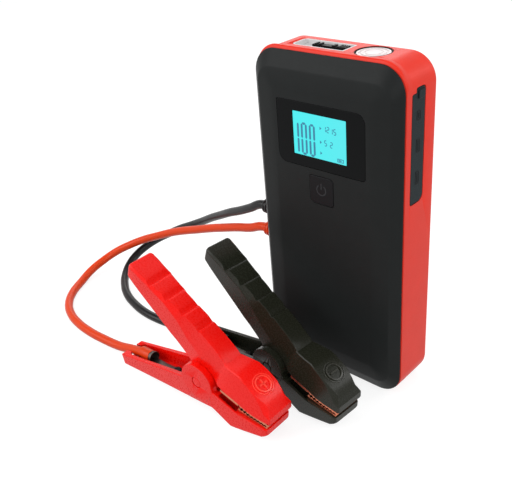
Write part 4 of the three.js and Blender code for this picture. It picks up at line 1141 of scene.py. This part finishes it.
def copper_jaw(which):
    """A folded copper strip with a row of teeth along each side."""
    line = JAW_LINES[which]
    sign = 1 if which == "lower" else -1
    first, last = TEETH_FROM[which], line[-1][0]
    points = list(line)
    for i in range(2 * TEETH + 1):
        u = last + (first - last) * i / (2 * TEETH)
        middle = (along_line(JAW_LINES["lower"], u) + along_line(JAW_LINES["upper"], u)) / 2
        reach = abs(middle - along_line(line, u)) - 0.25
        points.append((u, along_line(line, u) + sign * (reach * 0.55 if i % 2 == 0 else reach)))
    strip = prism("copper_jaw", points, "y", -STRIP["half_width"], STRIP["half_width"])
    if which == "upper":
        weld(strip, prism("plain_plate", [
            (16.8, 22.2), (28.9, 18.6), (28.6, 17.2), (28, 17.4), (16.8, 20.8)], "y", -9.3, 9.3))
    inner = [(u, w + sign * STRIP["thick"]) for u, w in line]
    inner[0] = (inner[0][0] - 1, inner[0][1] - sign * 0.1)
    inner[-1] = (inner[-1][0] + 1, inner[-1][1])
    sunk = inner + [(inner[-1][0], inner[-1][1] + sign * 5), (inner[0][0], inner[0][1] + sign * 9)]
    cut(strip, prism("sunk", sunk, "y", -STRIP["half_inside"], STRIP["half_inside"]))
    soften(strip, 0.1)
    smooth(strip)
    return strip


def pivot_pin():
    """A pin with a flat round head at each end, flush with the ears."""
    head = [(9.5, 2.0), (9.5, 3.1), (9.9, 3.1), (10.25, 2.8), (10.4, 2.2)]
    pin = turned("pivot_pin", [(-v, radius) for v, radius in reversed(head)] + head,
                 "y", (0, PIVOT), 40)
    smooth(pin, 40)
    return pin


def cable_lug():
    """A crimped ring terminal: a barrel round the cable's end and a flat tongue."""
    barrel = turned("cable_lug", [
        (-54.6, 3.1), (-51.6, 3.1), (-51.2, 2.95), (-50.4, 2.95), (-50, 3.1), (-48.4, 3.1),
        (-47.6, 3.35), (-46.9, 3.75), (-46.4, 3.8)], "x", LUG_AXIS, 40)
    cut(barrel, turned("bore", [(-56, 2.85), (-48.2, 2.85), (-46.2, 3.45)], "x", LUG_AXIS, 32))
    tongue = prism("tongue", [
        (-47.2, 5.6), (-39, 5.1), (-24.4, 6.5), (-24.4, 7.5), (-39, 6.1), (-47.2, 6.4)],
        "y", -2.6, 2.6)
    weld(barrel, tongue)
    cut(barrel, turned("eye", [(0, 1.5), (20, 1.5)], "z", LUG_EYE, 20))
    soften(barrel, 0.15)
    smooth(barrel)
    return barrel


def crimp_sleeve():
    """A short PVC sleeve that goes over the cable's end and most of the crimp."""
    sleeve = turned("crimp_sleeve", [
        (-57.5, 2.95), (-57.2, 3.2), (-55.0, 3.4), (-49.2, 3.45), (-48.9, 3.3)],
        "x", LUG_AXIS, 40)
    cut(sleeve, turned("bore", [(-58, 2.86), (-55, 2.86), (-54.7, 3.18), (-48, 3.18)],
                       "x", LUG_AXIS, 32))
    smooth(sleeve, 40)
    return sleeve


def lug_screw():
    """The screw that holds the lug down, with a cross in its head."""
    screw = turned("lug_screw", [
        (4, 1.2), (7.9, 1.2), (7.9, 2.5), (8.6, 2.5), (9.3, 2.1), (9.7, 1.2)], "z", LUG_EYE, 32)
    cross_recess(screw, (-1.4, -0.3, 9.0), (1.4, 0.3, 11), "Z", 35, (*LUG_EYE, 0))
    smooth(screw, 30)
    return screw


def clamp_spring():
    """Torsion spring round the pivot: a leg on the trough's floor, turns, a leg in the handle."""
    radius, turns, pitch, steps = 4.3, 3 + 3 / 8, 2.0, 24
    sides, wire = 12, 0.7
    start = -pitch * turns / 2
    points = [Vector((u, start, w)) for u, w in ((-20, 7.6), (-15, 9.3), (-10, 11), (-5, 13))]
    for i in range(round(turns * steps) + 1):
        angle = math.radians(-96) + 2 * math.pi * i / steps
        points.append(Vector((radius * math.cos(angle), start + pitch * i / steps,
                              PIVOT + radius * math.sin(angle))))
    end = points[-1].y + 0.2
    points += [Vector((u, end, w)) for u, w in ((-7, 31.5), (-12, 37.5), (-17, 43.5))]
    rings = []
    for i, point in enumerate(points):
        along = (points[min(i + 1, len(points) - 1)] - points[max(i - 1, 0)]).normalized()
        across = Vector((0, 1, 0)).cross(along).normalized()
        up = along.cross(across)
        rings.append([point + wire * (across * math.cos(2 * math.pi * s / sides)
                                      + up * math.sin(2 * math.pi * s / sides))
                      for s in range(sides)])
    coil = wrapped("clamp_spring", rings)
    smooth(coil, 60)
    return coil


def raised_on(piece, target, thickness):
    """Lays a flat piece from above onto the target and makes it stand proud."""
    modified(piece, "SHRINKWRAP", target=target, wrap_method="PROJECT", use_project_z=True,
             use_negative_direction=True, use_positive_direction=False)
    modified(piece, "SOLIDIFY", thickness=thickness, offset=0)
    soften(piece, 0.1)


# The marks lie round this place along the clamp and look round from straight above the slope,
# so seen from the top they are drawn in along the clamp. They start flat above the lever.
MARK_CENTRE = 38.8
MARK_SQUASH = 0.78
MARK_START = 60
BOLD = 1.3
FINE = 0.6


def polarity_mark(upper, positive):
    """A bold ring with a plus or a minus and a thin ring round it, on the slope of the jaw."""
    parts = []
    for outer, width, thickness in ((4.75, 0.8, BOLD), (5.95, 0.4, FINE)):
        ring = plate("ring", circle(outer, (0, 0), 48), "z", MARK_START)
        pick(ring, "FACE", lambda f: True)
        bpy.ops.mesh.inset(thickness=width)
        bpy.ops.mesh.delete(type="FACE")
        leave_edit()
        parts.append((ring, thickness))
    arms = [(5.4, 0.95), (0.95, 5.4)] if positive else [(0.95, 5.4)]
    for long_u, long_v in arms:
        deselect()
        bpy.ops.mesh.primitive_grid_add(x_subdivisions=12, y_subdivisions=12, size=1)
        arm = bpy.context.object
        for vertex in arm.data.vertices:
            vertex.co.x *= long_u
            vertex.co.y *= long_v
            vertex.co.z = MARK_START
        parts.append((arm, BOLD))
    for part, thickness in parts:
        for vertex in part.data.vertices:
            vertex.co.x = vertex.co.x * MARK_SQUASH + MARK_CENTRE
        raised_on(part, upper, thickness)
    mark = gather("polarity_mark", [part for part, thickness in parts])
    smooth(mark)
    return mark


# Each clamp piece: its CAD node's name after the clamp's colour, the body it rides on, and its
# material and slot, where None is the clamp's own plastic.
CLAMP_PIECES = {
    "top_lever": ("upper_lever", "upper", None, None),
    "bottom_lever": ("lower_lever", "lower", None, None),
    "lower_copper": ("lower_jaw", "lower", COPPER, "copper"),
    "upper_copper": ("upper_jaw", "upper", COPPER, "copper"),
    "hinge_pin": ("pivot_pin", "lower", None, None),
    "ring_terminal": ("cable_lug", "lower", DULL_TIN, "bright_metal"),
    "terminal_screw": ("lug_screw", "lower", SCREW_STEEL, "steel"),
    "crimp_sleeve": (None, "lower", "cable", "cable"),
    # The marks' paler materials paint a highlight on their raised tops.
    "plus_mark": (None, "upper", MARK_RED_PAINTED_HIGHLIGHT, "red_clamp_plastic"),
    "minus_mark": (None, "upper", MARK_BLACK_PAINTED_HIGHLIGHT, "black_clamp_plastic"),
}


def clamps():
    """Models each clamp piece once and sets copies of it down in both clamps."""
    top_lever = upper_lever()
    originals = {
        "top_lever": top_lever, "bottom_lever": lower_lever(),
        "lower_copper": copper_jaw("lower"), "upper_copper": copper_jaw("upper"),
        "hinge_pin": pivot_pin(), "ring_terminal": cable_lug(), "terminal_screw": lug_screw(),
        "crimp_sleeve": crimp_sleeve(),
        "plus_mark": polarity_mark(top_lever, True),
        "minus_mark": polarity_mark(top_lever, False), "torsion_spring": clamp_spring(),
    }
    plastic = {"red": CLAMP_RED, "black": CLAMP_BLACK}
    rubber = {"red": CABLE_RED, "black": CABLE_BLACK}
    for colour, (x, y, turn) in CLAMPS.items():
        set_down = Matrix.Translation((x, y, 0)) @ Matrix.Rotation(math.radians(turn), 4, "Z")
        bodies = {"upper": colour + "_clamp_upper", "lower": "jump_lead"}
        for kind, (node, side, material, slot) in CLAMP_PIECES.items():
            if kind == {"red": "minus_mark", "black": "plus_mark"}[colour]:
                continue
            piece = copy_of(originals[kind], f"{colour}_{kind}")
            piece.data.transform(set_down)
            if material is None:
                material, slot = plastic[colour], colour + "_clamp_plastic"
            elif material == "cable":
                material, slot = rubber[colour], colour + "_rubber"
            finished(piece, material, bodies[side], slot,
                     *([f"{colour}_clamp_{node}"] if node else []))
        spring = copy_of(originals["torsion_spring"], colour + "_torsion_spring")
        spring.data.transform(Matrix.Scale(MM, 4) @ set_down)
        spring.data.materials.clear()
        spring.data.materials.append(SPRING_STEEL)
        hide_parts(colour + "_clamp_spring")
        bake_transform(spring)
    for piece in originals.values():
        bpy.data.objects.remove(piece, do_unlink=True)


# ------------------------------------------------------------------ pieces kept from the frame
KEPT = {
    "lcd_panel": LIT_DISPLAY, "lcd_backlight": PALE_ABS, "power_switch_body": SLIDER_ABS,
    "power_switch_plunger": PALE_ABS, "main_board": CIRCUIT_LACQUER,
    "battery_cell_1": CELL_LAMINATE, "battery_cell_2": CELL_LAMINATE,
    "battery_cell_3": CELL_LAMINATE, "battery_cell_4": CELL_LAMINATE,
    "foam_pad_front": OPEN_FOAM, "foam_pad_back": OPEN_FOAM, "strap_positive": COPPER,
    "strap_negative": COPPER, "torch_board": CIRCUIT_LACQUER, "torch_led": PALE_ABS,
    "torch_switch_body": SLIDER_ABS, "usb_a_socket_1": TIN_PLATE, "usb_a_socket_2": TIN_PLATE,
    "usb_c_socket": TIN_PLATE, "jump_socket": PLUG_ABS, "socket_contact_negative": CONTACT_BRASS,
    "socket_contact_positive": CONTACT_BRASS, "plug_pin_negative": CONTACT_BRASS,
    "plug_pin_positive": CONTACT_BRASS,
}


def dress_kept_nodes():
    """Gives the frame's own pieces that show, or are inside, their materials."""
    for name, material in KEPT.items():
        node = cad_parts[name]
        node.data.materials.clear()
        node.data.materials.append(material)


# ------------------------------------------------------------------ stage
def white_floor():
    """A floor that is white to the camera and in reflections, and grey in the light it gives."""
    deselect()
    bpy.ops.mesh.primitive_plane_add(size=6, location=(0, 0, 0))
    floor = bpy.context.object
    floor.name = "floor"
    material, tree = new_material("pale_sweep")
    paths = add(tree, "ShaderNodeLightPath")
    seen = add(tree, "ShaderNodeMath", {"operation": "MAXIMUM"},
               {0: paths.outputs["Is Camera Ray"], 1: paths.outputs["Is Glossy Ray"]})
    seen = add(tree, "ShaderNodeMath", {"operation": "MAXIMUM"},
               {0: seen.outputs["Value"], 1: paths.outputs["Is Transmission Ray"]})
    matte = add(tree, "ShaderNodeBsdfDiffuse", {"Color": (0.3, 0.3, 0.3, 1)})
    glow_power = add(tree, "ShaderNodeMath", {"operation": "MULTIPLY", 1: 0.8},
                     {0: seen.outputs["Value"]})
    glow = add(tree, "ShaderNodeEmission", links={"Strength": glow_power.outputs["Value"]})
    both = add(tree, "ShaderNodeAddShader", links={0: matte.outputs["BSDF"],
                                                   1: glow.outputs["Emission"]})
    add(tree, "ShaderNodeOutputMaterial", links={"Surface": both.outputs["Shader"]})
    floor.data.materials.append(material)


def white_sweep():
    """A white sweep up behind the object and a dim ceiling; the camera sees white all over."""
    world = bpy.data.worlds.new("studio")
    bpy.context.scene.world = world
    world.use_nodes = True
    tree = world.node_tree
    tree.nodes.clear()
    paths = add(tree, "ShaderNodeLightPath")
    seen = add(tree, "ShaderNodeMath", {"operation": "MAXIMUM"},
               {0: paths.outputs["Is Camera Ray"], 1: paths.outputs["Is Transmission Ray"]})
    way = add(tree, "ShaderNodeTexCoord").outputs["Generated"]
    height = add(tree, "ShaderNodeSeparateXYZ", links={"Vector": way}).outputs["Z"]
    sweep = add(tree, "ShaderNodeMapRange", {"From Min": 0.52, "From Max": 0.7, "To Min": 0.95,
                                             "To Max": 0.12, "interpolation_type": "SMOOTHSTEP"},
                {"Value": height}).outputs["Result"]
    even = add(tree, "ShaderNodeMix", {"data_type": "FLOAT", 2: 0.5},
               {"Factor": paths.outputs["Is Glossy Ray"], 3: sweep}).outputs[0]
    strength = add(tree, "ShaderNodeMix", {"data_type": "FLOAT", 3: 1.0},
                   {"Factor": seen.outputs["Value"], 2: even}).outputs[0]
    sky = add(tree, "ShaderNodeBackground", {"Color": (1, 1, 1, 1)}, {"Strength": strength})
    add(tree, "ShaderNodeOutputWorld", links={"Surface": sky.outputs["Background"]})


# Name, place and size in metres, and power in watts. All lamps point at the same spot.
LAMPS = [("key", (-0.52, -0.74, 0.66), 0.75, 6.6), ("side", (0.95, -0.15, 0.45), 0.6, 2.4),
         ("top", (0.1, 0.25, 1.0), 0.8, 2.0), ("back", (-0.74, 0.75, 0.76), 0.7, 3.0),
         ("fill", (0.55, -0.62, 0.48), 0.2, 1.8), ("rim", (0.64, 0.68, 0.6), 0.3, 2.0)]
LAMPS_POINT_AT = (-0.04, -0.02, 0.08)


def lamps():
    for name, place, size, power in LAMPS:
        aim = (Vector(LAMPS_POINT_AT) - Vector(place)).to_track_quat("-Z", "Y")
        bpy.ops.object.light_add(type="AREA", location=place, rotation=aim.to_euler())
        lamp = bpy.context.object
        lamp.name = name
        lamp.data.size = size
        lamp.data.energy = power


# ------------------------------------------------------------------ build
red_tub()
black_front()
display()
power_button()
side_cover()
torch()
torch_switch()
case_screws()
clamps()
dress_kept_nodes()
white_floor()
white_sweep()
lamps()

bpy.context.scene.view_settings.view_transform = "Standard"
